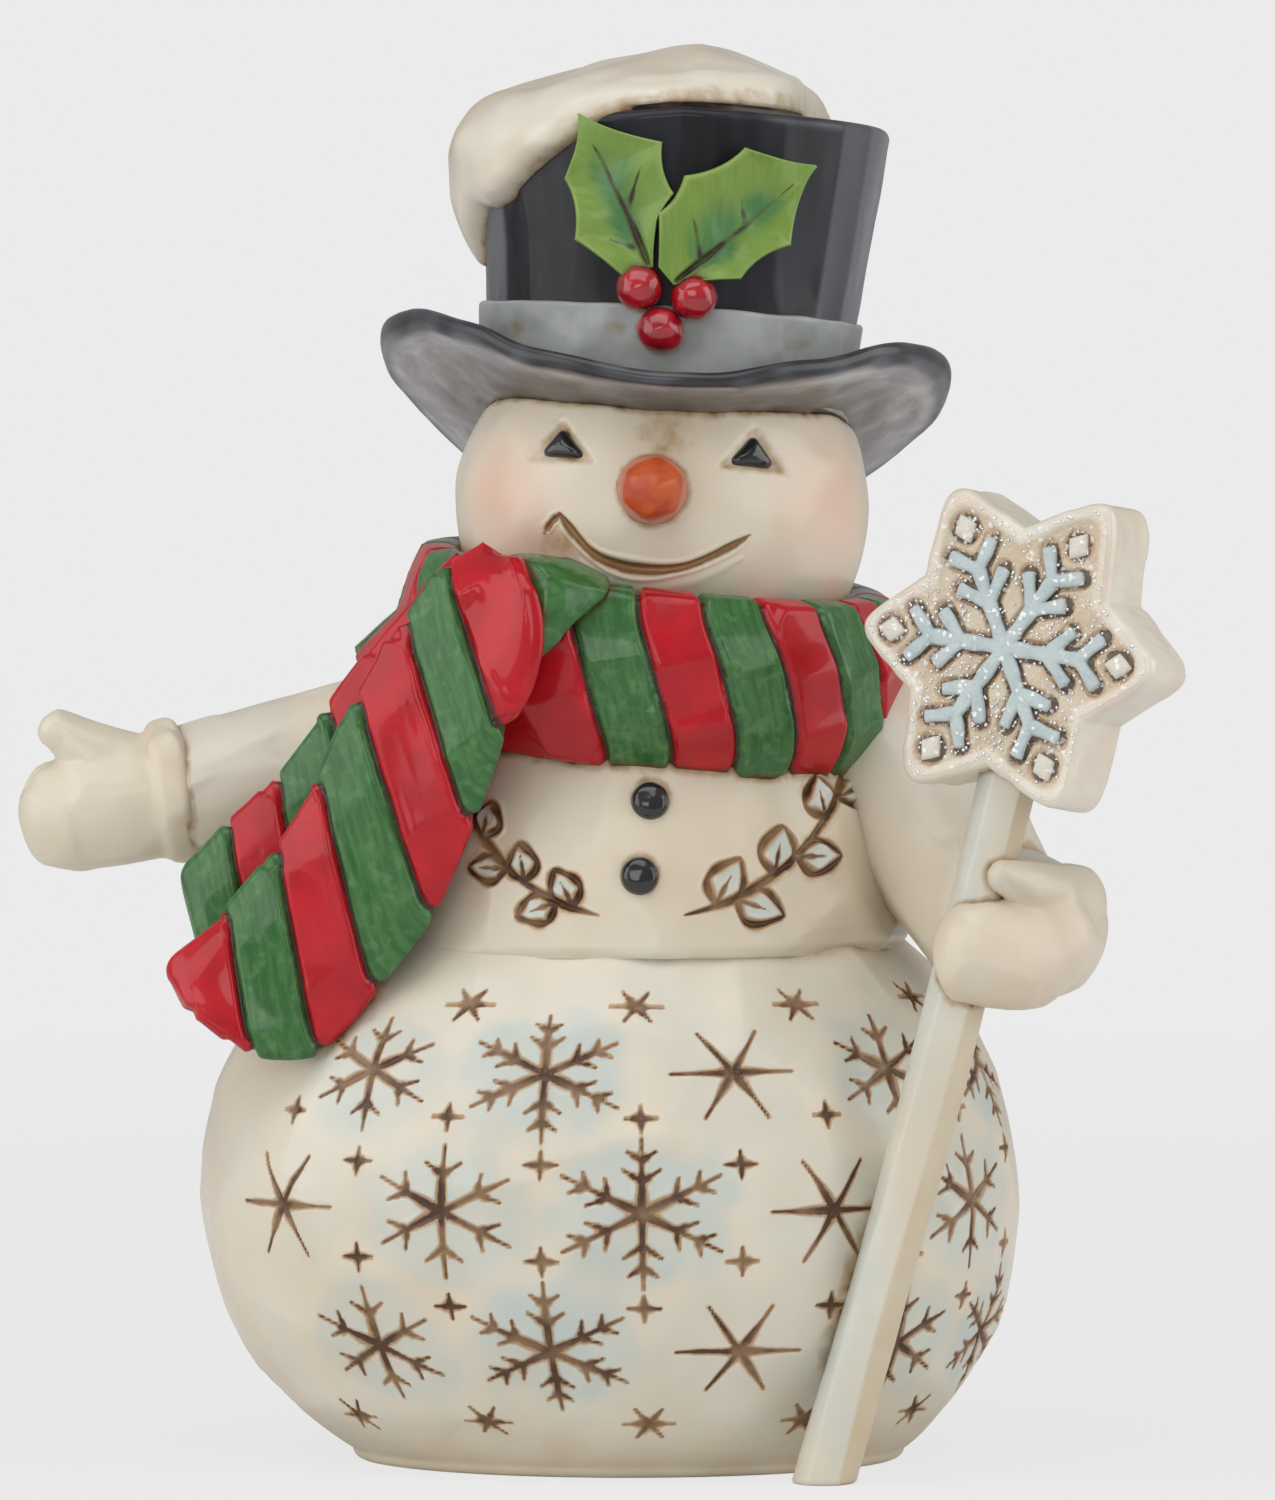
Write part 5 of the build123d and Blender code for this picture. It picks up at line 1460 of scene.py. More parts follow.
# scarf
scarf = {
    "wrapMiddle": (2.0, 0.5, 70.2),
    "wrapTurn": (4.5, 6.8),
    "wrapHalf": (23.9, 21.6),
    "wrapHeight": 13.3,
    "wrapLean": 3.6,  # how far its top left draws in
    "wrapThickness": 10.0,
    "stripeTurn": 15.0,  # degrees round the neck for one stripe
    "stripeStart": 5.0,
    "stripeSlant": 0.96,  # degrees for each millimetre upwards
    "thickness": 4.0,  # of the tails
    # the two edges of the front tail where its stripes meet, from the top, as x and z
    "frontLeft": ((-11.3, 79.5), (-14.1, 78.8), (-17.6, 73.8), (-21.8, 66.8), (-24.9, 59.6), (-28.7, 53.7),
                  (-33.0, 48.2), (-37.9, 43.5)),
    "frontRight": ((-8.7, 79.3), (-9.9, 64.3), (-12.6, 57.4), (-15.9, 49.1), (-20.8, 42.8), (-25.5, 36.8),
                   (-31.1, 36.8), (-36.0, 40.0)),
    "frontColours": (1, -1, 1, -1, 1, -1, 1),  # 1 is red, -1 is green
    "frontBulge": 2.3,  # how far the first stripe swells to the right
    # heights, how far forward the tail lies there, and the way it faces
    "frontDepth": ((36, 39.8, 49.8, 60.2, 70, 78, 81), (-15.8, -16.4, -18.8, -21.0, -22.6, -22.2, -20.0),
                   (-0.42, -0.9, 0.0)),
    "backLeft": ((-13.3, 78.7), (-19.7, 71.8), (-24.4, 65.6), (-28.9, 59.4), (-33.2, 55.6), (-36.9, 51.4)),
    "backRight": ((-10.0, 68.0), (-15.5, 58.6), (-20.0, 51.0), (-25.6, 45.0), (-30.2, 41.8), (-34.3, 42.0)),
    "backColours": (1, 1, -1, 1, -1),
    "backBulge": 0.0,
    "backDepth": ((40, 48.8, 57.4, 66, 75, 80), (-10.8, -12.6, -15.2, -17.2, -18.0, -17.0),
                  (-0.5, -0.86, 0.0)),
    "tailSlope": 2.45,  # how much further back the left edge lies, on each side of the middle
}


def carveStripes(p, n, s, puff, groove):
    # s is a sine that is 0 on the lines between stripes: bevels, a V groove on the line, a ridge beside it
    depth = puff * (1 - ramp(np.abs(s), 0, 0.45)) + groove * bell(s, 0.12)
    return p - n * (depth - 0.08 * bell(np.abs(s) - 0.28, 0.08))[..., None]


def makeWrap():
    # a rounded section carried round the neck and joined to itself
    turn = frontHeavy(620, 0.74) + np.radians(4)
    loop = fullTurn(96)[:, None]
    loop = loop - 0.35 * sin(loop)  # more rings on the outside
    thick = scarf["wrapThickness"]
    out = signedPower(cos(loop), 0.62) * thick / 2 - thick / 2
    h = signedPower(sin(loop), 0.62) * scarf["wrapHeight"] / 2
    wide, deep = scarf["wrapHalf"]
    swell = 0.5 * bell(h / 7.0, 0.9) - 0.4
    axes = axesOf(*scarf["wrapTurn"])
    past = out + swell
    p = xyz((wide + past) * sin(turn), -(deep + past) * cos(turn), h * np.ones_like(turn))
    drawn = scarf["wrapLean"] * ramp(h, -2.8, 2.8) - 0.3 * np.maximum(h - 2.6, 0)
    p[..., 0] += drawn * ramp(-p[..., 0], 8, 19)
    p = p @ axes + np.array(scarf["wrapMiddle"])
    n = ringNormals(p, True)
    outside = (out > -3.4)[:, 0]
    place = (np.degrees(turn) + scarf["stripeSlant"] * h - scarf["stripeStart"]) / scarf["stripeTurn"]
    s = sin(pi * place) * np.ones(p.shape[:2])
    # one red stripe is twice as wide, where the tail hides its end
    wideRed = (place > -3) & (place < -1.5)
    s = np.where(wideRed, np.where(place < -2.5, np.abs(s), 1.0), s)
    rng = np.random.default_rng(111)
    seeds = []
    for stripe in range(-12, 12):
        for level in (-4.6, -0.2, 4.4):
            h0 = level + rng.uniform(-0.7, 0.7)
            middle = (stripe + 0.5) * scarf["stripeTurn"] + scarf["stripeStart"]
            angle = np.radians(middle - scarf["stripeSlant"] * h0)
            row = np.argmin(np.abs(h[:, 0] - h0) + 5 * ~outside)
            column = np.argmin(np.abs(np.angle(np.exp(1j * (turn - angle)))))
            seeds.append(row * len(turn) + column)
    carved = whittle(p, n, np.array(seeds), 1.5, 0.75, -0.1)
    carved = carveStripes(carved, n, s, 0.3, 0.34)
    share = ramp(out, -6.5, -4.2)[..., None]
    p = p + (carved - p) * share
    back = ramp(np.abs(np.angle(np.exp(1j * turn))), 1.45, 1.7) * np.ones_like(s)
    # where the painted highlight lies: the back top edge of the wrap
    rim = back * ramp(h, 6.2, 6.9) * ramp(-out, 0.2, 1.2)
    across = np.abs(place - np.floor(place) - 0.5) * np.ones_like(s)
    flow = xyz(h * 0.00022, across * 6.0 * 0.001, place * 0.004)
    shell = skin(p, loop=True, stripe=s, rim=rim, flow=flow, cut=bell(s, 0.06) * share[..., 0] * 0.3)
    keepShape("scarfWrap", shell, ["scarf_wrap"], "scarf_paint", scarfColours,
              ("chest", "scarfFold", "scarfFrontTail", "head"), 1.1)


def makeTail(name, node, side, seed, touching):
    # rows run from stripe to stripe; each row's section is a rounded slab between the left and the right edge
    corners = [np.array(scarf[side + edge]) for edge in ("Left", "Right")]
    colours = scarf[side + "Colours"]
    heights, depths, facing = scarf[side + "Depth"]
    each = 30
    count = len(colours)
    phase = np.concatenate([np.linspace(0, count, count * each + 1)[:-1], [count - 0.001]])

    def edge(knots):  # half way between straight lines and a curve through the stripes' ends
        curve = bend(knots, 7 * each)
        straight = [np.interp(phase, np.arange(count + 1), knots[:, k]) for k in (0, 1)]
        smooth = [np.interp(phase, np.linspace(0, count, 7 * each), curve[:, k]) for k in (0, 1)]
        return 0.55 * np.stack(straight, -1) + 0.45 * np.stack(smooth, -1)

    left, right = (edge(knots) for knots in corners)
    right[:, 0] += scarf[side + "Bulge"] * sin(pi * np.clip(phase, 0, 1)) ** 0.8
    loop = fullTurn(120)
    u, w = signedPower(cos(loop), 0.38), signedPower(sin(loop), 0.6)
    share = (u + 1) / 2
    x = left[:, None, 0] * (1 - share) + right[:, None, 0] * share
    z = left[:, None, 1] * (1 - share) + right[:, None, 1] * share
    out = unit(np.array(facing))
    middle = np.interp(z, heights, depths)
    slope = scarf["tailSlope"] * (1 - 2 * share)
    start = 1 - 0.35 * (1 - np.sqrt(np.clip(1 - np.maximum(0, 0.35 - phase) ** 2 / 0.1225, 0, 1)))
    tip = np.sqrt(np.clip(1 - np.maximum(0, phase - count + 0.3) ** 2 / 0.0905, 0.02, 1))
    half = scarf["thickness"] / 2 * start * tip
    core = xyz(x, middle + slope, z) - out * scarf["thickness"] / 2
    p = core + out * (w * half[:, None])[..., None]
    n = ringNormals(p)
    s = sin(pi * phase)[:, None] * np.ones(len(loop))
    sign = np.array([*colours, colours[-1]])[np.minimum(phase.astype(int), count - 1)][:, None]
    s = np.abs(s) * sign
    front = (w > 0.25) | (np.abs(u) > 0.97)
    rng = np.random.default_rng(seed)
    seeds = []
    for stripe in range(count):
        for place in (0.16, 0.42, 0.66, 0.88):
            row = np.argmin(np.abs(phase - stripe - 0.5 - rng.uniform(-0.1, 0.1)))
            column = np.argmin(np.abs(share - place - rng.uniform(-0.06, 0.06)) + 3 * (w < 0.3))
            seeds.append(row * len(loop) + column)
    carved = whittle(p, n, np.array(seeds), 0.9, 0.7, -0.05)
    keep = ramp(w, -0.2, 0.5)[None, :, None]
    p = p + (carved - p) * keep
    same = np.array([a == b for a, b in zip(colours, colours[1:])] + [False])
    joint = np.rint(phase).astype(int)
    crossed = (joint > 0) & (joint < count) & ~same[np.clip(joint - 1, 0, count - 1)]
    crossed = crossed[:, None]  # where the nearest line has two colours; only there it is cut
    profile = np.where(crossed, s, 1.0)
    p = carveStripes(p, n, profile, 0.34, 0.36)
    s = np.where((np.abs(s) < 0.25) & ~crossed, 0.25 * sign, s)
    lengths = (1 - share) * 12 * 0.00022 * np.ones_like(s)
    flow = xyz(lengths, (phase % 1)[:, None] * 6.5 * 0.001, np.floor(phase)[:, None] * 0.004)
    shell = skin(p, stripe=s, flow=flow, cut=bell(profile, 0.06) * 0.3 * front)
    keepShape(name, shell, [node], "scarf_paint", scarfColours, touching, 0.8)


def makeTails():
    makeTail("scarfFrontTail", "scarf_front_tail", "front", 121,
             ("chest", "belly", "scarfWrap", "scarfBackTail", "scarfFold", "head"))
    makeTail("scarfBackTail", "scarf_back_tail", "back", 131,
             ("chest", "belly", "scarfWrap", "scarfFrontTail", "openSleeve"))


fold = {
    # the green tuck between the tail and the wrap: middles, half widths and half depths, from its top down
    "path": ((-4.3, -18.2, 78.3), (-4.3, -19.9, 77.2), (-4.8, -21.2, 75.3), (-5.6, -21.6, 73.1),
             (-6.3, -21.2, 71.2)),
    "half": ((3.6, 0.9), (4.0, 2.2), (2.7, 2.3), (1.3, 1.7), (0.3, 0.5)),
    "across": (0.95, 0.1, -0.3),
}


def makeFold():
    # oval rings down a curve, their long way along the fold's own slant
    path, half = bend(fold["path"], 60), bend(fold["half"], 60)
    across = unit(np.array(fold["across"]))
    front = unit(np.cross(across, np.gradient(path, axis=0)))
    front = front * np.sign(-front[:, 1:2])
    turn = fullTurn(90)
    c, s = cos(turn), sin(turn)
    p = path[:, None] + across * (half[:, :1] * c)[..., None] + front[:, None] * (half[:, 1:] * s)[..., None]
    n = ringNormals(p)
    p = whittle(p, n, scatter(p, 3.2, 141), 1.0, 0.5, 0.03)
    flow = xyz(np.arange(60)[:, None] / 60 * 0.009, turn * 0.0006, 0.02)
    shell = skin(p, stripe=np.full(p.shape[:2], -1.0), flow=flow)
    keepShape("scarfFold", shell, ["scarf_fold"], "scarf_paint", scarfColours,
              ("scarfWrap", "scarfFrontTail", "head"), 1.2)


# arms
arms = {
    "openPath": ((-8.0, 1.0, 63.2), (-18.0, 0.2, 61.6), (-28.0, -0.5, 59.9), (-36.6, -1.0, 58.4)),
    "openHalf": ((8.8, 8.2), (7.5, 7.2), (6.6, 6.2), (5.5, 5.2)),  # half heights and half depths
    "cuff": ((-39.1, -1.1, 58.2), (-37.3, -1.0, 58.5)),
    "cuffHalf": ((6.1, 5.5), (6.2, 5.6)),
    "palm": ((-38.0, -1.1, 58.3), (-42.0, -1.3, 57.3), (-46.0, -1.4, 56.5), (-49.0, -1.4, 56.4)),
    "palmHalf": ((5.3, 4.8), (5.3, 4.3), (5.1, 3.9), (4.3, 2.9)),
    "thumb": ((-40.6, -1.0, 60.0), (-44.9, -1.4, 61.7), (-48.8, -1.8, 63.9)),
    "thumbHalf": ((2.9, 2.7), (2.2, 2.2), (1.75, 1.7)),
    "bentPath": ((16.0, 3.0, 65.0), (23.5, 0.5, 61.5), (29.0, -5.5, 54.6), (32.8, -12.0, 48.4)),
    "bentHalf": ((8.2, 8.2), (8.4, 8.0), (7.8, 7.4), (6.8, 6.6)),
    "hand": ((33.6, -12.0, 48.2), (35.8, -16.0, 47.6), (36.9, -20.0, 47.0), (36.5, -23.0, 46.6)),
    "handHalf": ((6.2, 5.4), (6.3, 6.3), (5.9, 6.2), (4.9, 4.8)),
    "finger": ((36.6, -23.4, 45.7), (33.4, -26.4, 45.6), (30.2, -26.8, 45.8)),
    "fingerHalf": ((4.6, 3.6), (4.7, 3.6), (4.2, 3.1)),
    "bentThumb": ((39.9, -19.5, 49.8), (37.0, -25.0, 51.2), (34.6, -27.4, 51.9), (32.9, -27.9, 52.5)),
    "bentThumbHalf": ((2.9, 2.8), (2.1, 2.1), (1.6, 1.6), (1.1, 1.2)),
}


def limb(path, halves, rows, columns, endRows=9, endShare=0.8):
    # oval rings carried along a curve, upright half first, with a round end on each side
    line, half = bend(path, rows), bend(halves, rows)
    along = unit(np.gradient(line, axis=0))
    side = unit(np.cross(along, [0, 0, 1]))
    up = np.cross(side, along)
    turn = fullTurn(columns)

    def oval(k, scale, shift):
        upward, sideward = half[k, 0] * scale * sin(turn), half[k, 1] * scale * cos(turn)
        return line[k] + along[k] * shift + up[k] * upward[:, None] + side[k] * sideward[:, None]

    bow = np.linspace(0.12, pi / 2, endRows)[:-1]
    start = [oval(0, sin(b), -cos(b) * half[0].min() * endShare) for b in bow]
    end = [oval(-1, sin(b), cos(b) * half[-1].min() * endShare) for b in bow[::-1]]
    middle = [oval(k, 1.0, 0.0) for k in range(rows)]
    return np.array(start + middle + end)


def fused(skins, voxel, smoothing):
    # overlapping shapes become one skin of small squares, smoothed by moving points to their neighbours' mean
    whole = together(skins)
    mesh = bpy.data.meshes.new("draft")
    faces = [tuple(f) for f in whole["quads"].tolist()] + [tuple(f) for f in whole["triangles"].tolist()]
    mesh.from_pydata(whole["points"].tolist(), [], faces)
    draft = bpy.data.objects.new("draft", mesh)
    bpy.context.scene.collection.objects.link(draft)
    remesh = draft.modifiers.new("remesh", "REMESH")
    remesh.mode = "VOXEL"
    remesh.voxel_size = voxel
    made = draft.evaluated_get(bpy.context.evaluated_depsgraph_get()).to_mesh()
    points = np.empty(len(made.vertices) * 3, np.float32)
    made.vertices.foreach_get("co", points)
    corners = np.empty(len(made.loops), np.int32)
    made.loops.foreach_get("vertex_index", corners)
    edges = np.empty(len(made.edges) * 2, np.int32)
    made.edges.foreach_get("vertices", edges)
    bpy.data.objects.remove(draft)
    points = points.reshape(-1, 3).astype(float)
    edges = edges.reshape(-1, 2)
    quads = corners.reshape(-1, 4)
    degree = np.bincount(edges.ravel(), minlength=len(points))[:, None]
    for _ in range(smoothing):
        total = np.stack([
            np.bincount(edges[:, 0], points[edges[:, 1], axis], len(points))
            + np.bincount(edges[:, 1], points[edges[:, 0], axis], len(points))
            for axis in range(3)
        ], -1)
        points = points + 0.6 * (total / degree - points)
    a, b, c, d = (points[quads[:, k]] for k in range(4))
    face = np.cross(c - a, d - b)
    n = np.stack([np.bincount(quads.ravel(), np.repeat(face[:, k], 4), len(points)) for k in range(3)], -1)
    return {"points": points, "quads": quads, "triangles": np.zeros((0, 3), int), "values": {}}, unit(n)


def makeMitten(parts, voxel, spacing, share, seed):
    # the parts as one skin, whittled along its normals
    mitten, n = fused(parts, voxel, 9)
    p = whittle(mitten["points"], n, scatter(mitten["points"], spacing, seed, 3000), 2.0, share, 0.0)
    mitten["points"] = p - n * (0.05 * waver(p, 6.0, seed + 1))[:, None]
    return mitten


def makeOpenArm():
    # the sleeve as a limb along its path; cuff, palm and thumb fused
    p = limb(arms["openPath"], arms["openHalf"], 90, 150)
    n = ringNormals(p)
    p = whittle(p, n, scatter(p * [0.5, 1, 1], 4.6, 151), 2.0, 0.25, 0.02)
    x, z = p[..., 0], p[..., 2]
    tint = 0.3 * ramp(-x, 20, 34) * ramp(z, 54, 62)
    # painted shade: browner low on the sleeve, towards the body
    wash = 0.25 * ramp(-z, -60, -54) * ramp(x, -36, -28)
    keepShape("openSleeve", skin(p, tint=tint, wash=wash), ["open_arm"], "ivory_paint", ivory,
              ("scarfFrontTail", "scarfBackTail", "openMitten", "chest", "belly"), 0.7)
    cuff = skin(limb(arms["cuff"], arms["cuffHalf"], 12, 150, 9, 0.16))
    palm = skin(limb(arms["palm"], arms["palmHalf"], 60, 90))
    thumb = skin(limb(arms["thumb"], arms["thumbHalf"], 40, 60))
    mitten = makeMitten([cuff, palm, thumb], 0.26, 5.0, 0.22, 157)
    q = mitten["points"]
    # painted shade: a little brown all over, more low down and towards the sleeve
    mitten["values"] = {"wash": 0.22 + 0.25 * ramp(-q[:, 2], -57, -51) + 0.2 * ramp(q[:, 0], -44, -39)}
    keepShape("openMitten", mitten, ["open_mitten"], "ivory_paint", ivory, ("openSleeve",), 0.55)


def makeBentArm():
    # the sleeve as a limb along its path; the hand round the staff, its finger and thumb fused
    p = limb(arms["bentPath"], arms["bentHalf"], 90, 150)
    n = ringNormals(p)
    p = whittle(p, n, scatter(p, 5.2, 161), 2.2, 0.25, 0.02)
    z = p[..., 2]
    # painted shade: browner low on the sleeve, towards the body
    wash = 0.3 * ramp(-z, -62, -48) * ramp(-p[..., 0], -34, -22)
    keepShape("staffSleeve", skin(p, wash=wash), ["staff_arm"], "ivory_paint", ivory,
              ("belly", "staffMitten"), 1.2)
    parts = [skin(limb(arms[k], arms[k + "Half"], 50, 80)) for k in ("hand", "finger", "bentThumb")]
    mitten = makeMitten(parts, 0.27, 4.6, 0.2, 165)
    q = mitten["points"]
    mitten["values"] = {
        "blush": 0.2 * bell(np.linalg.norm(q - [36, -24, 46], axis=1), 5),
        "tint": 0.4 * ramp(q[:, 2], 47, 53),
        # painted shade: a little brown all over, more low down
        "wash": 0.3 + 0.25 * ramp(-q[:, 2], -45, -40),
    }
    keepShape("staffMitten", mitten, ["staff_mitten"], "ivory_paint", ivory, ("staff", "staffSleeve"), 0.9)


# staff
staff = {
    "foot": (18.3, -22.5, 0.0),
    "lean": (0.252, 0.05),  # to the right and to the front, for each millimetre up
    "radius": 2.45,
    "height": 62.0,
    "sides": 6,
    "bow": 0.8,  # how far it bends to the right half way up
}
staffAxis = unit(np.array([staff["lean"][0], -staff["lean"][1], 1.0]))


def makeStaff():
    # a six-sided rod with softened corners; its radius and its corners wander a little on the way up
    foot, axis = np.array(staff["foot"]), staffAxis
    turn = fullTurn(96)
    z = np.concatenate([[0.0], np.linspace(0.25, staff["height"], 200)])[:, None]
    corner = pi / staff["sides"]
    twist = 0.25 * sin(z / 17) + 0.12 * sin(z / 7.3)
    local = np.mod(turn + twist, 2 * corner) - corner
    flat = cos(corner) / cos(local)
    soft = 0.5 * flat / 0.955 + 0.5
    swell = 1.07 - 0.06 * z / staff["height"] + 0.015 * sin(z / 5.1 + 2 * turn)
    radius = staff["radius"] * soft * swell
    radius[0] -= 0.2
    side = unit(np.cross([0, 1.0, 0], axis))
    deep = np.cross(axis, side)
    centre = foot + axis * (z / axis[2])
    centre[:, :1] += staff["bow"] * sin(pi * z / 72)
    offset = side * (radius * cos(turn))[..., None] + deep * (radius * sin(turn))[..., None]
    p = centre[:, None] + offset
    p = p - axis * ((p[..., 2] - z) / axis[2])[..., None]
    n = ringNormals(p)
    p = p - n * (0.05 * waver(p * [1, 1, 0.4], 4.0, 171))[..., None]
    p[0, :, 2] = 0.0
    facing = n[..., 0]  # to the right
    # painted shade: browner on the faces turned to the right and at the foot
    wash = 0.9 * ramp(facing, 0.1, 0.6) + 0.3 * ramp(-p[..., 2], -8, 0)
    tint = 0.75 * ramp(-facing, -0.1, 0.6) * ramp(waver(p * [1, 1, 0.3], 9, 172), -0.8, 0.8)
    keepShape("staff", skin(p, wash=np.clip(wash, 0, 1), tint=tint), ["staff"], "staff_paint", staffCream,
              ("staffMitten", "starBlock"), 1.0)


# star
star = {
    "middleUp": 71.3,  # along the staff from its foot
    "shift": (-1.1, 0.0, 0.2),
    "pointShares": (0.95, 1.015, 0.965, 0.92, 0.95, 0.975),  # of the radius, round from the right
    "radius": 14.7,
    "notch": 10.6,
    "thickness": 7.2,
    "yaw": 29.0,
    "pitch": 5.0,
    "turn": 7.5,
    "pointRounding": 1.5,
    "rimWidth": 1.5,
    "fieldDepth": 0.22,
    "flakeRise": 0.36,
    "barHalf": 0.68,
    "barLength": 7.7,
    "branches": ((4.1, 1.0), (7.1, 0.92)),  # place along the bar, and share of the branch length
    "branchLength": 3.0,
    "branchLean": 46.0,
    "diamondAt": 10.9,
    "diamondHalf": (1.35, 1.1),
    "edgeRounding": 0.75,
    "glitter": 1500,  # plates tried; half of those on the field are left out
    "glitterSize": (0.07, 0.16),
}
starMiddle = np.array(staff["foot"]) + staffAxis * (star["middleUp"] / staffAxis[2]) + np.array(star["shift"])
yaw, pitch = np.radians(star["yaw"]), np.radians(star["pitch"])
starFacing = np.array([-sin(yaw) * cos(pitch), -cos(yaw) * cos(pitch), sin(pitch)])
starAcross = np.array([cos(yaw), -sin(yaw), 0])
starUpward = np.cross(starFacing, starAcross)


def onStar(x, y, out):  # x across and y up its face, turned with its points, out from its middle plane
    a = np.radians(-star["turn"] - 30)
    across = x * cos(a) - y * sin(a)
    upward = x * sin(a) + y * cos(a)
    p = starMiddle + across[..., None] * starAcross + upward[..., None] * starUpward
    return p + np.asarray(out)[..., None] * starFacing


def starReach(angle):
    # straight edges from notch to point, in polar form, with the points rounded by blunting the radius
    a = np.mod(angle - pi / 2, pi / 3)
    a = np.minimum(a, pi / 3 - a)
    tip, notch = star["radius"] + star["pointRounding"] * 0.9, star["notch"] - 0.35
    reach = tip * notch * sin(pi / 6) / (notch * sin(pi / 6 - a) + tip * sin(a))
    grown = roundCurve(np.degrees(angle), (30, 90, 150, 210, 270, 330), star["pointShares"])
    return (star["radius"] - np.logaddexp(0, (star["radius"] - reach) * 1.9) / 1.9 + 0.33) * grown


def flakeBars():
    # every bar of the snowflake as a start and an end on the star's face, and its half width
    bars = []
    for k in range(6):
        ray = np.array([sin(pi / 3 * k), cos(pi / 3 * k)])
        bars.append((np.zeros(2), ray * star["barLength"], star["barHalf"]))
        for place, share in star["branches"]:
            for fork in (-1, 1):
                lean = pi / 3 * k + fork * np.radians(star["branchLean"])
                branch = star["branchLength"] * share * np.array([sin(lean), cos(lean)])
                bars.append((ray * place, ray * place + branch, star["barHalf"] * 0.9))
    return bars


def makeStar():
    # starReach over angle, on rings: the sunk field, its slope, the rim, a rounded edge, the side, the back
    turn = fullTurn(480)
    reach = starReach(turn)
    half, rounding = star["thickness"] / 2, star["edgeRounding"]
    rim, deep = star["rimWidth"], star["fieldDepth"]
    inner = np.linspace(0.02, 1, 46)[:, None] * (reach - rim - 0.55)
    slope = np.stack([reach - rim + shift for shift in (-0.35, -0.1, 0.15, 0.35)] + [reach - 0.95])
    bow = np.radians(np.linspace(0, 90, 8))[:, None]
    edge = reach - rounding + rounding * sin(bow)
    back = np.linspace(1, 0.02, 30)[:, None] * (reach - 1.2)
    rings = np.concatenate([inner, slope, edge, reach * np.ones((14, 1)), edge[::-1], back])
    fall = half - rounding + rounding * cos(bow[:, 0])
    level = np.concatenate([
        np.full(46, half - deep), half - deep * np.array([0.88, 0.5, 0.12, 0, 0]), fall,
        np.linspace(half - 1.0, -half + 1.0, 14), -fall[::-1], np.full(30, -half),
    ])[:, None]
    x, y = rings * cos(turn), rings * sin(turn)
    p = onStar(x, y, level)
    n = ringNormals(p)
    wear = 0.09 * waver(p, 5.0, 181) + 0.03 * waver(p, 2.0, 182)
    p = p - n * wear[..., None]
    lines = [(xyz(*np.stack([a, b], 1), 0), np.full(2, w)) for a, b, w in flakeBars()]
    for k in range(6):  # the diamonds count as very short bars
        ray = pi / 3 * k
        centre = star["diamondAt"] * np.array([sin(ray), cos(ray)])
        line = xyz(centre[0] + np.array([-0.02, 0.02]), centre[1], 0)
        lines.append((line, np.full(2, star["diamondHalf"][1])))
    gap, halfWidth = nearestCut(xyz(x, y, 0), lines, 3.0)
    away = (gap - 1) * np.maximum(halfWidth, 0.3)
    face = (np.arange(len(p)) < 52)[:, None]
    cut = np.clip(1 - (away - 0.02) / 0.6, 0, 1) * face
    p = p - n * (0.26 * bell(away - 0.12, 0.22) * face)[..., None]
    field = face * ramp(-rings, -(reach - rim + 0.1), -(reach - rim - 0.5))
    shell = skin(p, cut=cut, field=field, front=face * np.ones_like(cut))
    keepShape("starBlock", shell, ["star_topper"], "star_paint", starCream, ("staff",), 1.1)


def onFlake(x, y, out, edge, field):  # a skin on the star's face, with what its paint needs
    every = np.ones(np.shape(x))
    return skin(onStar(x, y, out), cut=edge * every, field=field * every, front=every)


def makeFlake():
    # each bar is a low half-round ridge: rings along it, sunk a little into the field
    base = star["thickness"] / 2 - star["fieldDepth"] - 0.25
    turn = fullTurn(28)
    section = signedPower(sin(turn), 0.5) + 0.05
    bars = []
    for k, (a, b, half) in enumerate(flakeBars()):
        length = np.linalg.norm(b - a)
        along = (b - a) / length
        across = np.array([-along[1], along[0]])
        t = np.linspace(-0.35, length + 0.3, 26)[:, None]
        near = np.minimum(t + 0.36, length + 0.31 - t)
        taper = np.sqrt(np.clip(1 - (1 - np.clip(near / 0.22, 0, 1)) ** 2, 0.02, 1))
        wide = half * (0.25 + 0.75 * taper) * (1 + 0.1 * sin(t * 2.1 + k)) * np.where(near < 0.02, 0.05, 1)
        u = signedPower(cos(turn), 0.5) * wide
        w = base + section * (star["flakeRise"] + 0.25) * (0.4 + 0.6 * taper)
        x = a[0] + along[0] * t + across[0] * u
        y = a[1] + along[1] * t + across[1] * u
        bars.append(onFlake(x, y, w, 1 - ramp(sin(turn), 0.1, 0.75), 0))
    keepShape("starFlake", together(bars), ["snowflake_relief"], "flake_paint", flakeBlue)
    # the tips are low diamonds: rings shrink from their outline to the middle while they rise
    turn = fullTurn(48)
    t = np.linspace(0, 1, 9)[:, None]
    halfLength, halfWidth = star["diamondHalf"]
    corner = 1 / (np.abs(cos(turn)) + np.abs(sin(turn))) ** 0.85
    share = np.clip(1.04 - t**3.2, 0.03, 1)
    u, v = halfWidth * corner * cos(turn) * share, halfLength * corner * sin(turn) * share
    w = base - 0.2 + (star["flakeRise"] + 0.4) * sin(pi / 2 * t) ** 0.7 * np.ones_like(turn)
    tips = []
    for k in range(6):
        ray = pi / 3 * k
        x = star["diamondAt"] * sin(ray) + u * cos(ray) + v * sin(ray)
        y = star["diamondAt"] * cos(ray) - u * sin(ray) + v * cos(ray)
        tips.append(onFlake(x, y, w, 1 - ramp(t, 0.15, 0.5), 1))
    keepShape("starDiamonds", together(tips), ["snowflake_tips"], "flake_paint", flakeBlue)


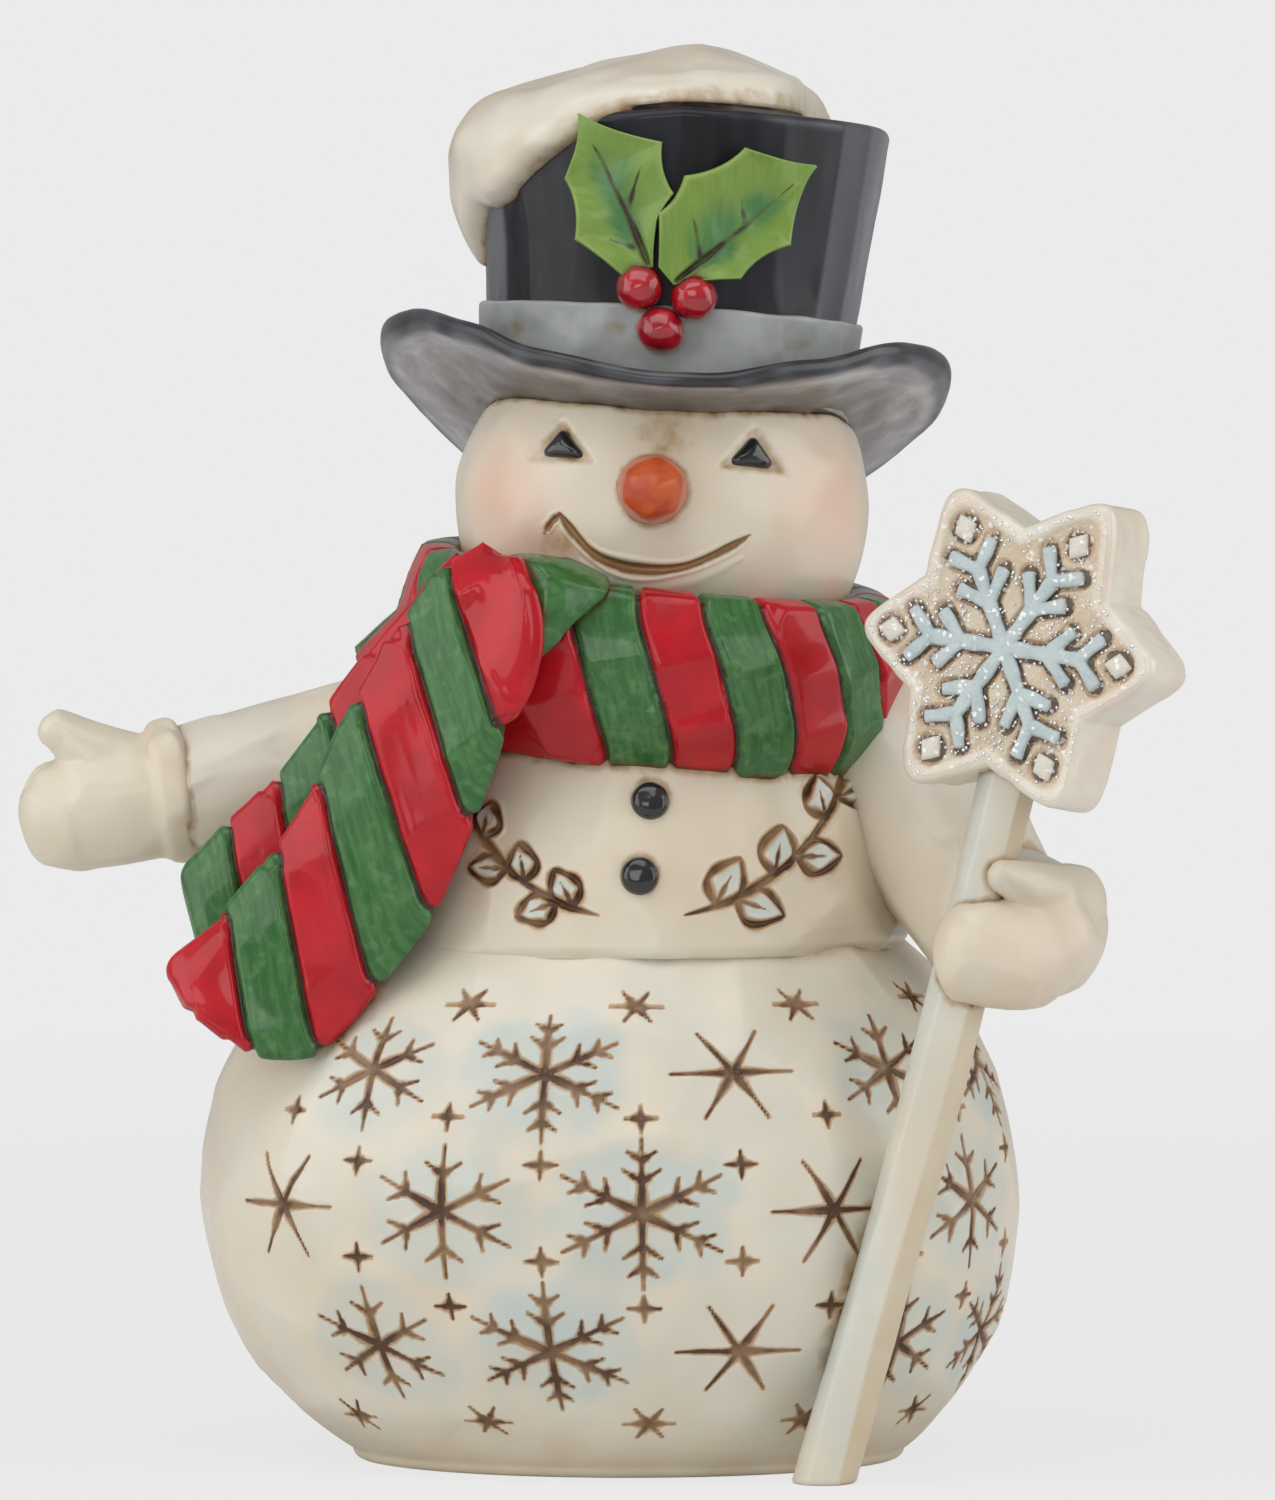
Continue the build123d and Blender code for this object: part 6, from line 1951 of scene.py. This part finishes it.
def makeGlitter():
    # thin six-sided plates strewn over the star's front, each with its own small tilt
    rng = np.random.default_rng(191)
    count = star["glitter"]
    angle = rng.uniform(0, 2 * pi, count)
    share = np.sqrt(rng.uniform(0, 1, count)) * 0.98
    radius = share * (starReach(angle) - 0.5)
    onRim = radius > starReach(angle) - star["rimWidth"] + 0.3
    keep = onRim | (rng.uniform(size=count) < 0.5)
    angle, radius, onRim = angle[keep], radius[keep], onRim[keep]
    count = len(angle)
    half = star["thickness"] / 2
    x, y = radius * cos(angle), radius * sin(angle)
    middle = onStar(x, y, np.where(onRim, half + 0.04, half - star["fieldDepth"] + 0.05))
    tilt = rng.normal(scale=0.28, size=(count, 3))
    out = unit(starFacing + tilt)
    side = unit(np.cross(out, rng.normal(size=(count, 3))))
    up = np.cross(out, side)
    size = rng.uniform(*star["glitterSize"], count)
    turn = fullTurn(6)
    ring = side[:, None] * cos(turn)[:, None] + up[:, None] * sin(turn)[:, None]
    low = middle[:, None] + ring * size[:, None, None] - out[:, None] * 0.03
    high = low + out[:, None] * 0.06
    points = np.concatenate([low, high], 1).reshape(-1, 3)
    k = np.arange(6)
    walls = np.stack([k, (k + 1) % 6, (k + 1) % 6 + 6, k + 6], -1)
    caps = np.array([[5, 4, 1, 0], [4, 3, 2, 1], [6, 7, 10, 11], [7, 8, 9, 10]])
    quads = (np.concatenate([walls, caps])[None] + 12 * np.arange(count)[:, None, None]).reshape(-1, 4)
    shell = {"points": points, "quads": quads, "triangles": np.zeros((0, 3), int), "values": {}}
    keepShape("starGlitter", shell, [], "flake_paint", glitterClear)


# light, floor and camera
studio = {
    "camera": (2.4, -950.0, 100.0),
    "aim": (2.4, 0.0, 61.95),
    "view": 131.25,  # height of the frame at the figure, in millimetres
    "sensor": 36.0,
    "floorHalf": 3.0,  # in metres
    "background": (235, 235, 235),
    "worldStrength": 0.36,
    "lamps": {  # place, size and power of each soft box; all aim at the figure
        "leftBox": ((-600, -260, 240), (700, 620), 2.25),
        "rightBox": ((600, -160, 230), (640, 620), 2.2),
        "topBox": ((-60, -260, 640), (620, 420), 1.5),
        "frontBox": ((-120, -900, 330), (500, 300), 1.1),
    },
}


def setStage():
    scene = bpy.context.scene
    place = Vector(studio["camera"]) * toMetres
    aim = Vector(studio["aim"]) * toMetres
    lens = bpy.data.cameras.new("camera")
    lens.sensor_width = studio["sensor"]
    lens.lens = studio["sensor"] * (aim - place).length / (studio["view"] * toMetres)
    lens.clip_end = 10
    camera = bpy.data.objects.new("camera", lens)
    camera.location = place
    camera.rotation_euler = (aim - place).to_track_quat("-Z", "Y").to_euler()
    scene.collection.objects.link(camera)
    scene.camera = camera
    for name, (where, size, power) in studio["lamps"].items():
        lamp = bpy.data.lights.new(name, "AREA")
        lamp.shape = "RECTANGLE"
        lamp.size, lamp.size_y = (s * toMetres for s in size)
        lamp.energy = power
        thing = bpy.data.objects.new(name, lamp)
        thing.location = Vector(where) * toMetres
        thing.rotation_euler = (aim - thing.location).to_track_quat("-Z", "Y").to_euler()
        scene.collection.objects.link(thing)
    world = bpy.data.worlds.new("world")
    scene.world = world
    world.use_nodes = True
    tree = world.node_tree
    tree.nodes.clear()
    path = addNode(tree, "LightPath")
    lit = addNode(tree, "Background", {"Color": (1, 1, 1, 1), "Strength": studio["worldStrength"]})
    seen = addNode(tree, "Background", {"Color": paint(*studio["background"]), "Strength": 1.0})
    plain = sums(tree, "ADD", path.outputs["Is Camera Ray"], path.outputs["Is Transmission Ray"])
    mix = addNode(tree, "MixShader", {0: plain, 1: lit.outputs[0], 2: seen.outputs[0]})
    tree.links.new(mix.outputs[0], addNode(tree, "OutputWorld").inputs[0])
    floor = bpy.data.meshes.new("floor")
    r = studio["floorHalf"]
    floor.from_pydata([(-r, -r, 0), (r, -r, 0), (r, r, 0), (-r, r, 0)], [], [(0, 1, 2, 3)])
    material, tree, tone = newPaint("floor")
    path = addNode(tree, "LightPath")
    matt = addNode(tree, "BsdfDiffuse", {"Color": tone["matt"]})
    flat = addNode(tree, "Emission", {"Color": paint(*studio["background"]), "Strength": 1.0})
    place = addNode(tree, "TexCoord").outputs["Object"]
    away = addNode(tree, "VectorMath", {0: place}, operation="LENGTH").outputs["Value"]
    half = times(tree, path.outputs["Is Camera Ray"], spread(tree, away, 0.12, 0.6, 0.88, 1.0))
    mix = addNode(tree, "MixShader", {0: half, 1: matt.outputs[0], 2: flat.outputs[0]})
    tree.links.new(mix.outputs[0], addNode(tree, "OutputMaterial").inputs[0])
    floor.materials.append(material)
    ground = bpy.data.objects.new("floor", floor)
    scene.collection.objects.link(ground)
    scene.view_settings.view_transform = "Standard"
    print("stage")


setStage()
print("dowels")
for name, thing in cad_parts.items():
    if name.endswith("_dowel"):
        for seat in thing.material_slots:
            seat.material = bareWood
print("pieces")
makeBelly()
makeChest()
makeHead()
for side, corners in zip(("left", "right"), head["eyes"]):
    makeEye("eye" + side.title(), "eye_" + side, corners)
makeNose()
makeButtons()
makeBrim()
makeCrown()
makeBand()
makeSnow()
makeHolly()
makeWrap()
makeTails()
makeFold()
makeOpenArm()
makeBentArm()
makeStaff()
makeStar()
makeFlake()
makeGlitter()
for job in waiting:
    finishPiece(*job)
